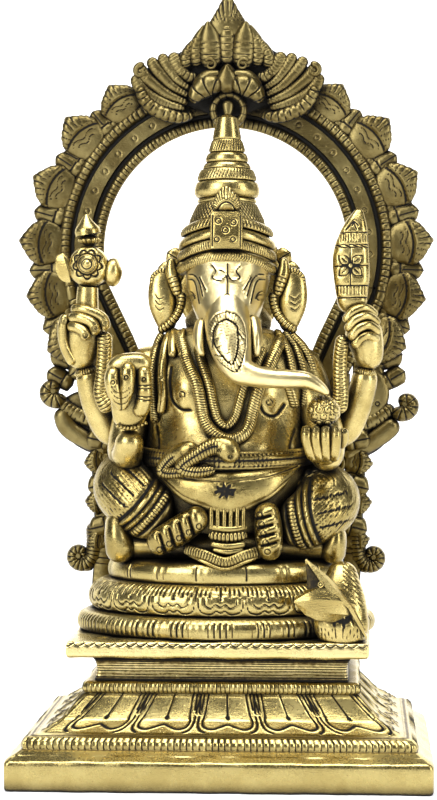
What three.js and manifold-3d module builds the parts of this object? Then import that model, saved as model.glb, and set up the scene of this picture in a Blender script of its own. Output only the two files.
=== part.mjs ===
// A cast brass Ganesha idol: a seated four-armed figure on an oval lotus seat and a stepped plinth, with a
// leafy arch (prabhavali) that lifts out of two sockets behind the seat. Millimetres, +Z up, front towards -Y.
// The figure's own right hand is at -X. The origin is the middle of the plinth's underside.
import * as THREE from "three";
import { mergeVertices } from "three/addons/utils/BufferGeometryUtils.js";
import Module from "manifold-3d";

const wasm = await Module();
wasm.setup();

// ---------------------------------------------------------------- driving dimensions
const gap = 0.3; // clearance between two castings that touch
const footHalfWidth = 66.6;
const footHalfDepth = 50;
const footTop = 31.8; // top of the lower plinth casting
const wall = 4; // plinth casting wall
const slabHalfWidth = 47.8;
const slabHalfDepth = 37;
const slabOffset = -1; // the slab's middle sits a little to the figure's right
const slabBottom = 40;
const slabTop = 45.3;
const seatHalfWidth = 48.8; // bead ring of the lotus seat
const seatDepthRatio = 0.735; // an oval's depth over its width
const seatTop = 62;
const cushionHalfWidth = 39;
const cushionTop = 69.5;
const cushionDepthRatio = 0.77;
const archOffset = -1.4; // the arch's middle, in X
const archFront = 24;
const archBack = 30;
const ringCentre = 170; // height of the arch ring's centre
const ringInner = 41;
const ringOuter = 56;
const leafTipTop = 65; // leaf tips' radius beside the crest, and at the shoulder scroll
const leafTipLow = 71;
const crestTop = 254;
const crestShift = 1; // the crest sits this far to one side of the arch's middle
const legInner = 39.5; // arch leg, from here to legOuter on each side
const legOuter = 45.2;
const tenonDepth = 3.8; // how far a tenon stands into the slab
const tenonInset = 0.7; // the tenon is narrower than its leg by this much on each side
const tenonClearance = 0.25;
const bandTop = 177; // height where the crown's band ends and its dome begins
const spireStart = 196;
const spireTop = 213;
const crownAxis = [0.2, -1]; // the crown's axis in X and Y
const studRadius = 3;
const studHole = 3.5;

// ---------------------------------------------------------------- from three.js to solids and back
function solidOf(geometry) {
  const bare = geometry.index ? geometry.toNonIndexed() : geometry.clone();
  for (const name of Object.keys(bare.attributes)) if (name !== "position") bare.deleteAttribute(name);
  const merged = mergeVertices(bare, 1e-4);
  const made = new wasm.Manifold(
    new wasm.Mesh({
      numProp: 3,
      vertProperties: merged.attributes.position.array,
      triVerts: new Uint32Array(merged.index.array),
    }),
  );
  return made;
}

function geometryOf(solid) {
  const mesh = solid.getMesh();
  const geometry = new THREE.BufferGeometry();
  const places = new Float32Array(mesh.numVert * 3);
  for (let i = 0; i < mesh.numVert; i++)
    places.set(mesh.vertProperties.subarray(i * mesh.numProp, i * mesh.numProp + 3), i * 3);
  geometry.setAttribute("position", new THREE.BufferAttribute(places, 3));
  geometry.setIndex(new THREE.BufferAttribute(new Uint32Array(mesh.triVerts), 1));
  geometry.computeVertexNormals();
  return geometry;
}

const largestOf = (solid) => solid.decompose().sort((a, b) => b.volume() - a.volume())[0];
const joined = (...geometries) => geometryOf(geometries.map(solidOf).reduce((a, b) => a.add(b)));
const cut = (geometry, ...tools) =>
  geometryOf(tools.map(solidOf).reduce((a, b) => a.subtract(b), solidOf(geometry)));

// ---------------------------------------------------------------- shapes
// A turned solid about +Z from [radius, height] pairs, squeezed in depth by ratio.
function turned(profile, ratio = 1, sides = 28) {
  const points = profile.map(([r, z]) => new THREE.Vector2(r, z));
  return new THREE.LatheGeometry(points, sides).rotateX(Math.PI / 2).scale(1, ratio, 1);
}

// A stack of rectangles from [half width, half depth, height] levels.
function stepped(levels) {
  const box = new THREE.BoxGeometry(2, 2, 1, 1, 1, levels.length - 1);
  const place = box.attributes.position;
  for (let i = 0; i < place.count; i++) {
    const [w, d, z] = levels[Math.round((place.getZ(i) + 0.5) * (levels.length - 1))];
    place.setXYZ(i, place.getX(i) * w, place.getY(i) * d, z);
  }
  return box;
}

// A flat casting: an outline in X and Z, from front to back in Y.
function plate(shape, front, back, curveSegments = 8) {
  const made = new THREE.ExtrudeGeometry(shape, { depth: back - front, bevelEnabled: false, curveSegments });
  return made.rotateX(Math.PI / 2).translate(0, back, 0);
}

const block = (w, d, h, x, y, z) => new THREE.BoxGeometry(w, d, h).translate(x, y, z);

function rod(radius, length, x, y, z, sides = 18) {
  return new THREE.CylinderGeometry(radius, radius, length, sides).rotateX(Math.PI / 2).translate(x, y, z);
}

// A limb: a spindle turned on the lathe, then bent along a smooth line. girth is its radius at even steps
// along the line, flat its thickness over its width, round the share of its length that each rounded end takes.
function limb({ line, girth, flat = 1, round = 0.16, sides = 10, steps = 9, facing = [0, 1, 0] }, grow = 0) {
  const path = new THREE.CatmullRomCurve3(line.map((p) => new THREE.Vector3(...p)));
  const length = path.getLength();
  const stretch = grow / length;
  const profile = [];
  for (let i = 0; i <= steps; i++) {
    const t = (1 - Math.cos((Math.PI * i) / steps)) / 2;
    const step = t * (girth.length - 1);
    const low = Math.min(Math.floor(step), girth.length - 2);
    const radius = THREE.MathUtils.lerp(girth[low], girth[low + 1], step - low) + grow;
    const end = Math.min(1, Math.min(t, 1 - t) / round);
    profile.push(new THREE.Vector2(radius * Math.sqrt(1 - (1 - end) ** 2), t));
  }
  const made = new THREE.LatheGeometry(profile, sides);
  const place = made.attributes.position;
  const up = new THREE.Vector3(...facing).normalize();
  for (let i = 0; i < place.count; i++) {
    const t = place.getY(i);
    const centre = path.getPointAt(t);
    const tangent = path.getTangentAt(t);
    const side = new THREE.Vector3().crossVectors(tangent, up).normalize();
    const thick = new THREE.Vector3().crossVectors(side, tangent);
    centre.addScaledVector(tangent, (t * 2 - 1) * stretch * length);
    centre.addScaledVector(side, place.getX(i)).addScaledVector(thick, place.getZ(i) * flat);
    place.setXYZ(i, centre.x, centre.y, centre.z);
  }
  return made;
}

// An egg: a sphere stretched to half sizes [x, y, z] about a centre.
function egg(centre, half, grow = 0, sides = 14) {
  const made = new THREE.SphereGeometry(1, sides, Math.round(sides * 0.7));
  return made.rotateX(Math.PI / 2).scale(half[0] + grow, half[1] + grow, half[2] + grow).translate(...centre);
}

const mirrored = (spec) => ({ ...spec, line: spec.line.map(([x, y, z]) => [-x, y, z]) });

// ---------------------------------------------------------------- plinth
const studTool = () => rod(studHole, 80, 0, 0, 50);

function plinthFoot() {
  const outside = stepped([
    [footHalfWidth, footHalfDepth, 0],
    [footHalfWidth, footHalfDepth, 9.5],
    [61.8, 44.6, 12],
    [62, 44.8, 14],
    [59.5, 42.6, 16],
    [57.5, 40.6, 16.5],
    [51, 35.5, 20],
    [43.5, 30.8, 28],
    [44.4, 31.7, 30],
    [43, 30.4, footTop],
  ]);
  const hollow = stepped([
    [footHalfWidth - wall, footHalfDepth - wall, -1],
    [footHalfWidth - wall, footHalfDepth - wall, 7],
    [53, 36, 13],
    [39, 25, footTop - wall],
  ]);
  return cut(outside, hollow, studTool());
}

function plinthPlatform() {
  const neckAndSlab = joined(
    stepped([
      [41.8, 29.6, footTop],
      [39.8, 28, 34.5],
      [39.8, 28, 37.5],
      [41.5, 29.6, slabBottom + 0.1],
    ]),
    stepped([
      [slabHalfWidth, slabHalfDepth, slabBottom],
      [slabHalfWidth, slabHalfDepth, slabTop],
    ]).translate(slabOffset, 0, 0),
  );
  const middle = (legInner + legOuter) / 2;
  const width = legOuter - legInner - 2 * tenonInset + 2 * tenonClearance;
  const depth = archBack - archFront + 2 * tenonClearance;
  const height = 2 * (tenonDepth + gap);
  const socket = (side) =>
    block(width, depth, height, archOffset + side * middle, (archFront + archBack) / 2, slabTop);
  return cut(neckAndSlab, studTool(), socket(1), socket(-1));
}

function lotusSeat() {
  const profile = [
    [0, slabTop], [47.5, slabTop], [seatHalfWidth, 47.5], [seatHalfWidth, 49.5], [46.8, 51.8],
    [43.5, 52.6], [45, 55.5], [45, 58.5], [42, 61], [38.5, seatTop], [0, seatTop],
  ];
  return cut(turned(profile, seatDepthRatio, 32), studTool());
}

function seatCushion() {
  const profile = [
    [0, seatTop], [37, seatTop], [cushionHalfWidth, 64.5], [38.6, 67.5], [36, cushionTop], [0, cushionTop],
  ];
  return cut(turned(profile, cushionDepthRatio, 28), studTool());
}

// The mouse sits up on its haunches at the slab's front left corner, its back against the seat's bead ring.
function mouse() {
  const body = limb(
    { line: [[37.6, -29.5, 44], [37.6, -30, 54], [35, -31, 63.5]], girth: [8.4, 8.2, 4.4], flat: 0.72 });
  const haunch = block(18.5, 6, 6, 37, -33.6, slabTop + gap + 3);
  const ear = limb(
    { line: [[34.5, -31.5, 61], [32, -33, 66], [27.6, -34.4, 71.6]], girth: [3.8, 2.8, 0.7], flat: 0.5 });
  const snout = limb(
    { line: [[35.5, -31.5, 60], [29.5, -34, 59.4], [23, -35, 57.8]], girth: [4, 2.5, 0.9], flat: 0.9 });
  return joined(body, haunch, ear, snout);
}

// ---------------------------------------------------------------- the figure's limbs and what they hold
const rightLeg = {
  line: [[-12, 3, 83], [-25, -3, 91], [-33, -10, 88], [-29, -17, 80.5], [-18, -20.5, 77.5]],
  girth: [9, 12, 12.3, 10, 6.8], flat: 0.84, steps: 12, sides: 12,
};
const leftLeg = {
  line: [[12, 3, 82], [24, -3, 86], [32.5, -10, 84], [27.5, -17, 79.5], [17.5, -20.5, 77.5]],
  girth: [9, 11, 11.2, 9, 6.6], flat: 0.84, steps: 12, sides: 12,
};
const rightRearArm = {
  line: [[-20, 6, 127], [-31, 7, 113], [-37.5, 5, 107.5], [-42.5, 3, 118], [-45.4, 1.5, 130.5]],
  girth: [6.5, 5.6, 5.4, 4.8, 3.9], steps: 12,
};
const rightFrontArm = {
  line: [[-22.5, -2, 130], [-30, -5, 114], [-33, -11, 104.8], [-30.4, -18.5, 110.5]],
  girth: [7.2, 6.2, 6, 4.8],
};
const leftFrontArm = {
  line: [[22.5, -2, 130], [31.5, -5, 113], [33, -12, 103.5], [30, -20, 104]],
  girth: [7.2, 6.2, 5.6, 4.8],
};
const trunk = {
  line: [
    [1.2, -15, 152], [2, -21.5, 145], [2.4, -25, 138], [4.4, -27.5, 131.5],
    [10, -29, 127.8], [20, -29.5, 127.4], [28, -30, 126], [33, -30.5, 123.8],
  ],
  girth: [7, 7.4, 7, 5.8, 3.9, 2.8, 2.2, 1], steps: 16, round: 0.06,
};
const rightFoot = {
  line: [[-23.5, -23.5, 77.5], [-16, -26, 75.6], [-7, -27, 77.5]],
  girth: [6, 7, 5.6], flat: 0.6, round: 0.25,
};
const leftFoot = {
  line: [[12.5, -26, 70.8], [11.5, -27, 78], [10, -26.5, 87.5]],
  girth: [5.2, 6, 4.8], flat: 0.62, round: 0.25,
};
const apron = {
  line: [[0.5, -19, 94], [0.5, -25, 84], [0.5, -27.4, 70]],
  girth: [6.5, 7.6, 9.5], flat: 0.22, round: 0.05,
};
const snake = {
  line: [[-18, -17, 97], [-10, -21.5, 103], [-2, -23.2, 105.4], [4, -23.2, 100.6]],
  girth: [2, 3.2, 3.6, 2.2], flat: 0.8,
};
const rightRearHand = {
  line: [[-45.2, 1.5, 130], [-46.6, 0.5, 138], [-46, 0.5, 148.6]],
  girth: [4.8, 7.4, 6.4], flat: 0.72,
};
const leftRearHand = {
  line: [[45.2, 1.5, 128], [45.5, 0.5, 138], [43.4, 0.5, 148.6]],
  girth: [4.8, 7, 6], flat: 0.72,
};
const rightFrontHand = {
  line: [[-29.6, -21, 112], [-29.2, -24.5, 122], [-29.8, -26, 134]],
  girth: [4.8, 8.4, 6.6], flat: 0.5,
};
const leftFrontHand = {
  line: [[29.6, -22.6, 101.6], [29.4, -26, 108], [31, -26.6, 115.4]],
  girth: [5, 7.3, 6.2], flat: 0.8,
};
const rightEar = {
  line: [[-17.6, 0, 161], [-21.2, 1, 151], [-17, 0, 139.5]],
  girth: [3.4, 6, 3], flat: 0.4,
};
const leftEar = {
  line: [[17.6, 0, 161], [20.6, 1, 151], [16.8, 0, 139.5]],
  girth: [3.4, 5.8, 3], flat: 0.4,
};
const axeShaft = {
  line: [[-45.6, 0.5, 150], [-46, 1, 165], [-46.2, 1.5, 181]],
  girth: [4.6, 6.6, 4], flat: 0.7,
};
const lotusStem = {
  line: [[42, 0.5, 149], [41.4, 0.6, 166], [42.8, 1.2, 183]],
  girth: [5.6, 7.2, 1.4], flat: 0.45, round: 0.08,
};
const rightSash = { line: [[-40.5, -1, 141], [-40, -1, 131], [-37.4, -1, 121]], girth: [2, 2.4, 2.2] };
const leftSash = { line: [[37.6, -1, 141], [37, -1, 130], [34.6, -1, 119]], girth: [2, 2.4, 2.2] };
const garland = {
  line: [
    [-14.5, -12, 136], [-11, -18.4, 122], [-6, -22.6, 111], [0, -24, 106.6],
    [6, -22.6, 111], [11, -18.4, 122], [14.5, -12, 136],
  ],
  girth: [2.2, 2.5, 2.9, 3, 2.9, 2.5, 2.2], flat: 0.8, steps: 18, round: 0.05, sides: 8,
};

// One tier of the crown, from its outer [radius, height] pairs; it grows outwards and upwards.
function crownTier(rim, ratio, grow) {
  const last = rim.length - 1;
  const outside = rim.map(([r, z], i) => [r + grow, i === last ? z + grow : z]);
  const profile = [[0, rim[0][1]], ...outside, [0, rim[last][1] + grow]];
  return turned(profile, ratio, 20).translate(...crownAxis, 0);
}

// Each piece as a builder that can grow, so that its neighbours can be cut back from it.
const figure = {
  torso: (g) =>
    joined(
      egg([0, 1, 83], [24 + g, 17 + g, 14 + g], 0, 18),
      egg([0, -2, 99], [27 + g, 19 + g, 18 + g], 0, 20),
      egg([0, 0, 119], [27 + g, 15.5 + g, 19.5 + g], 0, 20),
    ),
  head: (g) => limb({
    line: [[0.5, -4, 169], [0.5, -6, 156], [0.5, -12, 144.5]],
    girth: [13.5, 17, 12], flat: 0.86, sides: 16,
  }, g),
  trunk: (g) => limb(trunk, g),
  right_leg: (g) => limb(rightLeg, g),
  left_leg: (g) => limb(leftLeg, g),
  right_foot: (g) => limb(rightFoot, g),
  left_foot: (g) => limb(leftFoot, g),
  snake_head: (g) => limb(snake, g),
  waist_belt: (g) =>
    turned([[0, 96 - g], [27 + g, 96 - g], [28.6 + g, 99], [27 + g, 101.6 + g], [0, 101.6 + g]], 0.74, 28)
      .translate(0, -2.5, 0),
  dhoti_apron: (g) => limb(apron, g),
  right_rear_arm: (g) => limb(rightRearArm, g),
  left_rear_arm: (g) => limb(mirrored(rightRearArm), g),
  right_front_arm: (g) => limb(rightFrontArm, g),
  left_front_arm: (g) => limb(leftFrontArm, g),
  right_rear_hand: (g) => limb(rightRearHand, g),
  left_rear_hand: (g) => limb(leftRearHand, g),
  right_front_hand: (g) => limb(rightFrontHand, g),
  left_front_hand: (g) => limb(leftFrontHand, g),
  sweet_heap: (g) => egg([32.3, -26.5, 119.6], [5.8, 5.8, 6], g, 12),
  axe: (g) => joined(limb(axeShaft, g), egg([-46, 1.2, 164], [10.8, 3, 6.2], g, 12)),
  lotus_bud: (g) => limb(lotusStem, g),
  right_sash: (g) => limb(rightSash, g),
  left_sash: (g) => limb(leftSash, g),
  right_tusk: (g) => limb(
    { line: [[-8.6, -14, 141], [-9.8, -20, 137.5], [-9.4, -23, 133.5]], girth: [2.2, 2, 0.9] }, g),
  left_tusk: (g) => limb(
    { line: [[9.6, -14, 143], [10.6, -19, 138.5], [11.2, -22, 133.2]], girth: [2.2, 2, 0.9] }, g),
  right_ear: (g) => limb(rightEar, g),
  left_ear: (g) => limb(leftEar, g),
  crown_band: (g) => crownTier([[17.2, 161], [18, 164], [17, 171], [13.5, bandTop]], 0.86, g),
  crown_dome: (g) => crownTier([[12, bandTop + gap], [10, 184], [10.8, 188], [9, 193], [6.4, spireStart]], 0.92, g),
  crown_spire: (g) => crownTier([[6.2, spireStart + gap], [4.6, 203], [3.6, 209], [2.4, spireTop]], 1, g),
  head_halo: (g) => rod(20.5 + g, 2.4 + 2 * g, 0, 0, 0, 22).rotateX(Math.PI / 2).translate(0.4, 15, 160),
  garland: (g) => limb(garland, g),
};

// ---------------------------------------------------------------- the arch
function shapeOf(points) {
  return new THREE.Shape(points.map(([x, z]) => new THREE.Vector2(x, z)));
}

const onRing = (radius, degrees) => [
  radius * Math.sin(THREE.MathUtils.degToRad(degrees)),
  ringCentre + radius * Math.cos(THREE.MathUtils.degToRad(degrees)),
];

function sweep(radius, from, to, steps) {
  return Array.from({ length: steps + 1 }, (_, i) => onRing(radius, from + ((to - from) * i) / steps));
}

// A horseshoe ring on two straight legs whose tenons stand in the slab.
function archFrame() {
  const foot = slabTop + gap;
  const tenonEnd = slabTop - tenonDepth;
  const side = (s) => [
    [s * 48.5, 140], [s * 51.5, 124], [s * 50, 112], [s * 49, 100], [s * 48.2, 86], [s * 46, 76],
    [s * legOuter, 70],
    [s * legOuter, foot], [s * (legOuter - tenonInset), foot], [s * (legOuter - tenonInset), tenonEnd],
    [s * (legInner + tenonInset), tenonEnd], [s * (legInner + tenonInset), foot], [s * legInner, foot],
    [s * legInner, 60], [s * 38.5, 76], [s * 36, 92], [s * 29, 103], [s * 27, 118], [s * 28.5, 132],
  ];
  const half = side(1);
  const otherHalf = side(-1).reverse();
  const outer = sweep(ringOuter, -118, 118, 36);
  const inner = sweep(ringInner, 122, -122, 30);
  return plate(shapeOf([...outer, ...half, ...inner, ...otherHalf]), archFront, archBack);
}

// A row of pointed leaves along the ring's outer edge, from the crest down to the shoulder scroll.
function leafBorder(side) {
  const from = 34;
  const to = 116;
  const leaves = 6;
  const stepsPerLeaf = 6;
  const steps = leaves * stepsPerLeaf;
  const outer = Array.from({ length: steps + 1 }, (_, i) => {
    const lobe = Math.abs(Math.sin((Math.PI * i) / stepsPerLeaf));
    const tip = THREE.MathUtils.lerp(leafTipTop, leafTipLow, i / steps);
    return onRing(tip - 5 * (1 - lobe), from + ((to - from) * i) / steps);
  });
  const outline = [...outer, ...sweep(ringOuter + gap, to, from, 14)].map(([x, z]) => [side * x, z]);
  return plate(shapeOf(outline), archFront + 0.5, archBack - 0.5);
}

// The lion-face crest that crowns the ring, standing proud of its front.
function archCrest() {
  const half = [
    [0, crestTop], [3.6, 250], [8.2, 244.4], [13, 238.2], [19, 236], [26, 232.5],
    [31, 229.5], [32.4, 224], [30, 217.5], [22, 213.3], [10, 211.4], [5.5, 214],
  ];
  const outline = [...half, ...half.slice(1).reverse().map(([x, z]) => [-x, z])];
  const face = plate(shapeOf(outline), archFront - 5, archFront - gap);
  const nose = egg([0, archFront - 5, 224], [10.5, 3.6, 5.6]);
  return joined(face, nose).translate(crestShift, 0, 0);
}

// A curled scroll cast against the side of the arch leg: a disc with a tail that meets the leg.
function scroll(side, [x, z], radius, tail) {
  const disc = new THREE.CylinderGeometry(radius, radius, archBack - archFront - 1, 20);
  const tailShape = shapeOf(tail.map(([a, b]) => [side * a, b]));
  const middle = (archFront + archBack) / 2;
  return joined(disc.translate(side * x, middle, z), plate(tailShape, archFront + 0.5, archBack - 0.5));
}

// ---------------------------------------------------------------- assembly
const brass = (color, roughness) => new THREE.MeshStandardMaterial({ color, roughness, metalness: 1 });
const polished = brass(0xd0b062, 0.28);
const satin = brass(0xc0a050, 0.38);
const archBrass = brass(0xa8883c, 0.42);
const steel = new THREE.MeshStandardMaterial({ color: 0x9a9a98, roughness: 0.35, metalness: 1 });

const idol = new THREE.Group();

function add(name, geometry, material, parent = idol) {
  const mesh = new THREE.Mesh(geometry, material);
  mesh.name = name;
  parent.add(mesh);
}

add("plinth_foot", plinthFoot(), satin);
add("plinth_platform", plinthPlatform(), satin);
add("lotus_seat", lotusSeat(), satin);
add("seat_cushion", seatCushion(), satin);

// Each figure piece gives way to the pieces that stand before it in the list, and to the seat and the arch.
const cushionGuard = block(90, 80, 30, 0, 0, cushionTop + gap - 15);
const bore = rod(studHole, 40, 0, 0, 75);
const placed = [];
for (const [name, build] of Object.entries(figure)) {
  let made = solidOf(build(0)).subtract(solidOf(cushionGuard)).subtract(solidOf(bore));
  for (const other of placed) made = made.subtract(other);
  add(name, geometryOf(largestOf(made)), polished);
  placed.push(solidOf(build(gap)));
}
const ringGuard = turned(
  [[0, 40], [49.2, 40], [49.2, 50], [45.4, 53], [45.4, 60], [39.6, 62.5], [39.6, 70], [0, 70]],
  seatDepthRatio + 0.012,
  32,
);
const slabGuard = block(110, 90, 10, 0, 0, slabTop + gap - 5);
const seated = solidOf(mouse()).subtract(solidOf(ringGuard)).subtract(solidOf(slabGuard));
add("mouse", geometryOf(largestOf(seated)), polished);

const arch = new THREE.Group();
arch.position.x = archOffset;
idol.add(arch);
add("arch_frame", archFrame(), archBrass, arch);
add("arch_crest", archCrest(), archBrass, arch);
for (const [name, side] of [["left", 1], ["right", -1]]) {
  add(`${name}_leaf_border`, leafBorder(side), archBrass, arch);
  const shoulderTail = [[50.4, 110.5], [53, 108.5], [62.5, 119], [58.5, 126], [51.9, 125.4]];
  add(`${name}_shoulder_scroll`, scroll(side, [60.5, 121.6], 4.4, shoulderTail), archBrass, arch);
  const footTail = [[46.8, 60.3], [49.5, 61], [53, 64.5], [49, 71], [47.2, 73]];
  add(`${name}_foot_scroll`, scroll(side, [50.3, 66.4], 4.2, footTail), archBrass, arch);
}

// Steel fastening inside the hollow plinth: a stud up into the figure, a washer and a nut.
add("centre_stud", rod(studRadius, 73, 0, 0, 57.5), steel);
const washerTop = footTop - wall - gap / 2;
add("stud_washer", cut(rod(8, 1.6, 0, 0, washerTop - 0.8, 24), rod(studHole, 4, 0, 0, washerTop)), steel);
const nutMiddle = washerTop - 1.6 - gap / 2 - 2.5;
add("stud_nut", cut(rod(5.8, 5, 0, 0, nutMiddle, 6), rod(studRadius + 0.2, 8, 0, 0, nutMiddle)), steel);

export default idol;
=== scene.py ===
import math
import bpy
import numpy as np
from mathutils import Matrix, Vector


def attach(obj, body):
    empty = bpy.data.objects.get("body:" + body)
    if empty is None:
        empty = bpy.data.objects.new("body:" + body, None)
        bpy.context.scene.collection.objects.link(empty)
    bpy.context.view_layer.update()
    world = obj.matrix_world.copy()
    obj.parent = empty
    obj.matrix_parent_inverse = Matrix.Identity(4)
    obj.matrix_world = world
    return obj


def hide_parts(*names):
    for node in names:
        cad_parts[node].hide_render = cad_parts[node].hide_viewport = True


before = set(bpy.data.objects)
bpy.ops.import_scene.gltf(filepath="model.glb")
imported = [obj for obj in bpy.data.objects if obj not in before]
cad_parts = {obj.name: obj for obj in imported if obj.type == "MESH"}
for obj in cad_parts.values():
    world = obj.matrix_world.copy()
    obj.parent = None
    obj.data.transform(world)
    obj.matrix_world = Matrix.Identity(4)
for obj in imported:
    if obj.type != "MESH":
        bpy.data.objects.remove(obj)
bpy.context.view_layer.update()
mm = 0.001  # every shape below is worked out in millimetres and scaled once, when its mesh is made


# a Catmull-Rom curve through the points, read at count places, even by length or crowded towards both ends
def curveThrough(points, count, crowd=0.0):
    p = np.asarray(points, float)
    ends = np.vstack([2 * p[0] - p[1], p, 2 * p[-1] - p[-2]])
    t = np.linspace(0, len(p) - 1, 40 * len(p))
    i = np.minimum(t.astype(int), len(p) - 2)
    f = (t - i)[:, None]
    a, b, c, d = ends[i], ends[i + 1], ends[i + 2], ends[i + 3]
    q = 0.5 * (2 * b + (c - a) * f + (2 * a - 5 * b + 4 * c - d) * f**2 + (3 * b - a - 3 * c + d) * f**3)
    s = np.concatenate([[0], np.cumsum(np.linalg.norm(np.diff(q[:, :3], axis=0), axis=1))])
    u = np.linspace(0, 1, count)
    u = u - crowd * np.sin(2 * np.pi * u) / (2 * np.pi)
    return np.stack([np.interp(u * s[-1], s, q[:, k]) for k in range(q.shape[1])], 1)


# lengths walked along a line of points
def walked(path):
    return np.concatenate([[0], np.cumsum(np.linalg.norm(np.diff(path, axis=0), axis=1))])


# vectors brought to length 1
def unit(v):
    return v / np.maximum(np.linalg.norm(v, axis=-1, keepdims=True), 1e-12)


# a value kept between 0 and 1
def within(value):
    return np.clip(value, 0, 1)


# a bell curve: 1 where the value is at a place, falling off over its width
def near(value, at, width):
    return np.exp(-(((value - at) / width) ** 2))


# how squarely each column round a tube faces the front: its angle's sine times a gain, kept between 0 and 1
def faceOn(phi, gain=1.0):
    return within(np.sin(phi) * gain)[None, :]


# the outward direction at each point: the step along the rows crossed with the step round the columns
def outward(grid):
    along = np.gradient(grid, axis=0)
    roundWay = np.roll(grid, -1, 1) - np.roll(grid, 1, 1)
    return unit(np.cross(along, roundWay))


# the grid pushed out by a height in mm at each point
def raised(grid, height):
    return grid + outward(grid) * height[..., None]


# how near each value is to the centre of its tooth: 1 in the narrow cut between two teeth, 0 on a tooth
def cuts(s, pitch, width):
    away = np.abs((s / pitch) % 1 - 0.5) * pitch
    return near(away, 0, width)


# how near each flat place is to the nearest of some lines: 1 on a line, falling off over its width
def nearLines(flat, lines, width):
    points = flat.reshape(-1, 2)
    best = np.full(len(points), 1e9)
    for line in lines:
        a = np.asarray(line, float)
        start, step = a[:-1], a[1:] - a[:-1]
        size = np.maximum((step**2).sum(1), 1e-9)
        low, high = a.min(0) - 4 * width, a.max(0) + 4 * width
        near = np.where(((points > low) & (points < high)).all(1))[0]
        for part in np.array_split(near, max(1, len(near) // 20000)):
            away = points[part][:, None] - start[None]
            t = within((away * step[None]).sum(2) / size[None])
            d = ((away - t[..., None] * step[None]) ** 2).sum(2).min(1)
            best[part] = np.minimum(best[part], d)
    return np.exp(-best / width**2).reshape(flat.shape[:-1])


# points on an arc: the centre plus the radius times cosine and sine, the sine squeezed where asked
def arc(centre, radius, fromDegrees, toDegrees, count=14, squeeze=1.0):
    a = np.radians(np.linspace(fromDegrees, toDegrees, count))
    return np.stack([centre[0] + radius * np.cos(a), centre[1] + radius * squeeze * np.sin(a)], 1)


# a whole circle of points, for a punch mark
def ring(centre, radius, squeeze=1.0):
    return arc(centre, radius, 0, 360, 20, squeeze)


# a line bent smoothly through flat points, for chiselling
def bent(points, count=16):
    p = np.asarray(points, float)
    return curveThrough(np.column_stack([p, np.zeros(len(p))]), count)[:, :2]


# flat lines and their mirror images about a middle
def mirroredLines(lines, middle=0.0):
    return lines + [np.column_stack([2 * middle - np.asarray(a)[:, 0], np.asarray(a)[:, 1]]) for a in lines]


# each part is (grid, groove): rows along a path, columns round it, ends closed by a middle point;
# groove is 0 on polished metal and 1 in a cut that holds the dark patina; some parts also carry
# painted shade in it, such as the neck under the slab and the dark plates behind the arch's leaves and plumes
def casting(name, parts, body, slot, finish, replaces=(), smoothAngle=40):
    places, cutsAndShadeParts, faces, base = [], [], [], 0
    for grid, groove in parts:
        n, m = grid.shape[:2]
        groove = np.zeros((n, m)) + groove
        ends = np.array([grid[0].mean(0), grid[-1].mean(0)])
        flat = grid.reshape(-1, 3)
        i, j = np.meshgrid(np.arange(n - 1), np.arange(m), indexing="ij")
        a, b = i * m + j, (i + 1) * m + j
        right = (j + 1) % m
        quads = np.stack([a, b, (i + 1) * m + right, i * m + right], -1).reshape(-1, 4)
        k = np.arange(m)
        k1 = (k + 1) % m
        first = np.stack([k, k1, np.full(m, n * m)], 1)
        last = np.stack([(n - 1) * m + k1, (n - 1) * m + k, np.full(m, n * m + 1)], 1)
        places.append(np.vstack([flat, ends]))
        cutsAndShadeParts.append(np.concatenate([groove.ravel(), [groove[0].mean(), groove[-1].mean()]]))
        tris = np.vstack([first, last])
        volume = signedVolume(places[-1], quads, tris)
        if volume < 0:
            quads, tris = quads[:, ::-1], tris[:, ::-1]
        faces.append((quads + base, tris + base))
        base += len(places[-1])
    co = np.vstack(places) * mm
    quads = np.vstack([f[0] for f in faces])
    tris = np.vstack([f[1] for f in faces])
    mesh = bpy.data.meshes.new(name)
    mesh.vertices.add(len(co))
    mesh.vertices.foreach_set("co", co.astype(np.float32).ravel())
    loops = np.concatenate([quads.ravel(), tris.ravel()])
    sizes = np.concatenate([np.full(len(quads), 4), np.full(len(tris), 3)])
    starts = np.concatenate([[0], np.cumsum(sizes)[:-1]])
    mesh.loops.add(len(loops))
    mesh.loops.foreach_set("vertex_index", loops.astype(np.int32))
    mesh.polygons.add(len(sizes))
    mesh.polygons.foreach_set("loop_start", starts.astype(np.int32))
    mesh.polygons.foreach_set("loop_total", sizes.astype(np.int32))
    mesh.polygons.foreach_set("use_smooth", np.ones(len(sizes), bool))
    mesh.update(calc_edges=True)
    mesh.validate()
    mesh.set_sharp_from_angle(angle=math.radians(smoothAngle))
    worn = mesh.attributes.new("groove", "FLOAT", "POINT")
    worn.data.foreach_set("value", within(np.concatenate(cutsAndShadeParts)).astype(np.float32))
    piece = bpy.data.objects.new(name, mesh)
    bpy.context.scene.collection.objects.link(piece)
    mesh.materials.append(finish)
    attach(piece, body)
    if replaces:
        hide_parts(*replaces)
    return piece


# six times the volume inside a closed mesh, from each face's corners
def signedVolume(co, quads, tris):
    t = np.vstack([tris, quads[:, :3], quads[:, [0, 2, 3]]])
    middle = co.mean(0)
    a, b, c = co[t[:, 0]] - middle, co[t[:, 1]] - middle, co[t[:, 2]] - middle
    return float((a * np.cross(b, c)).sum())


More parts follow.
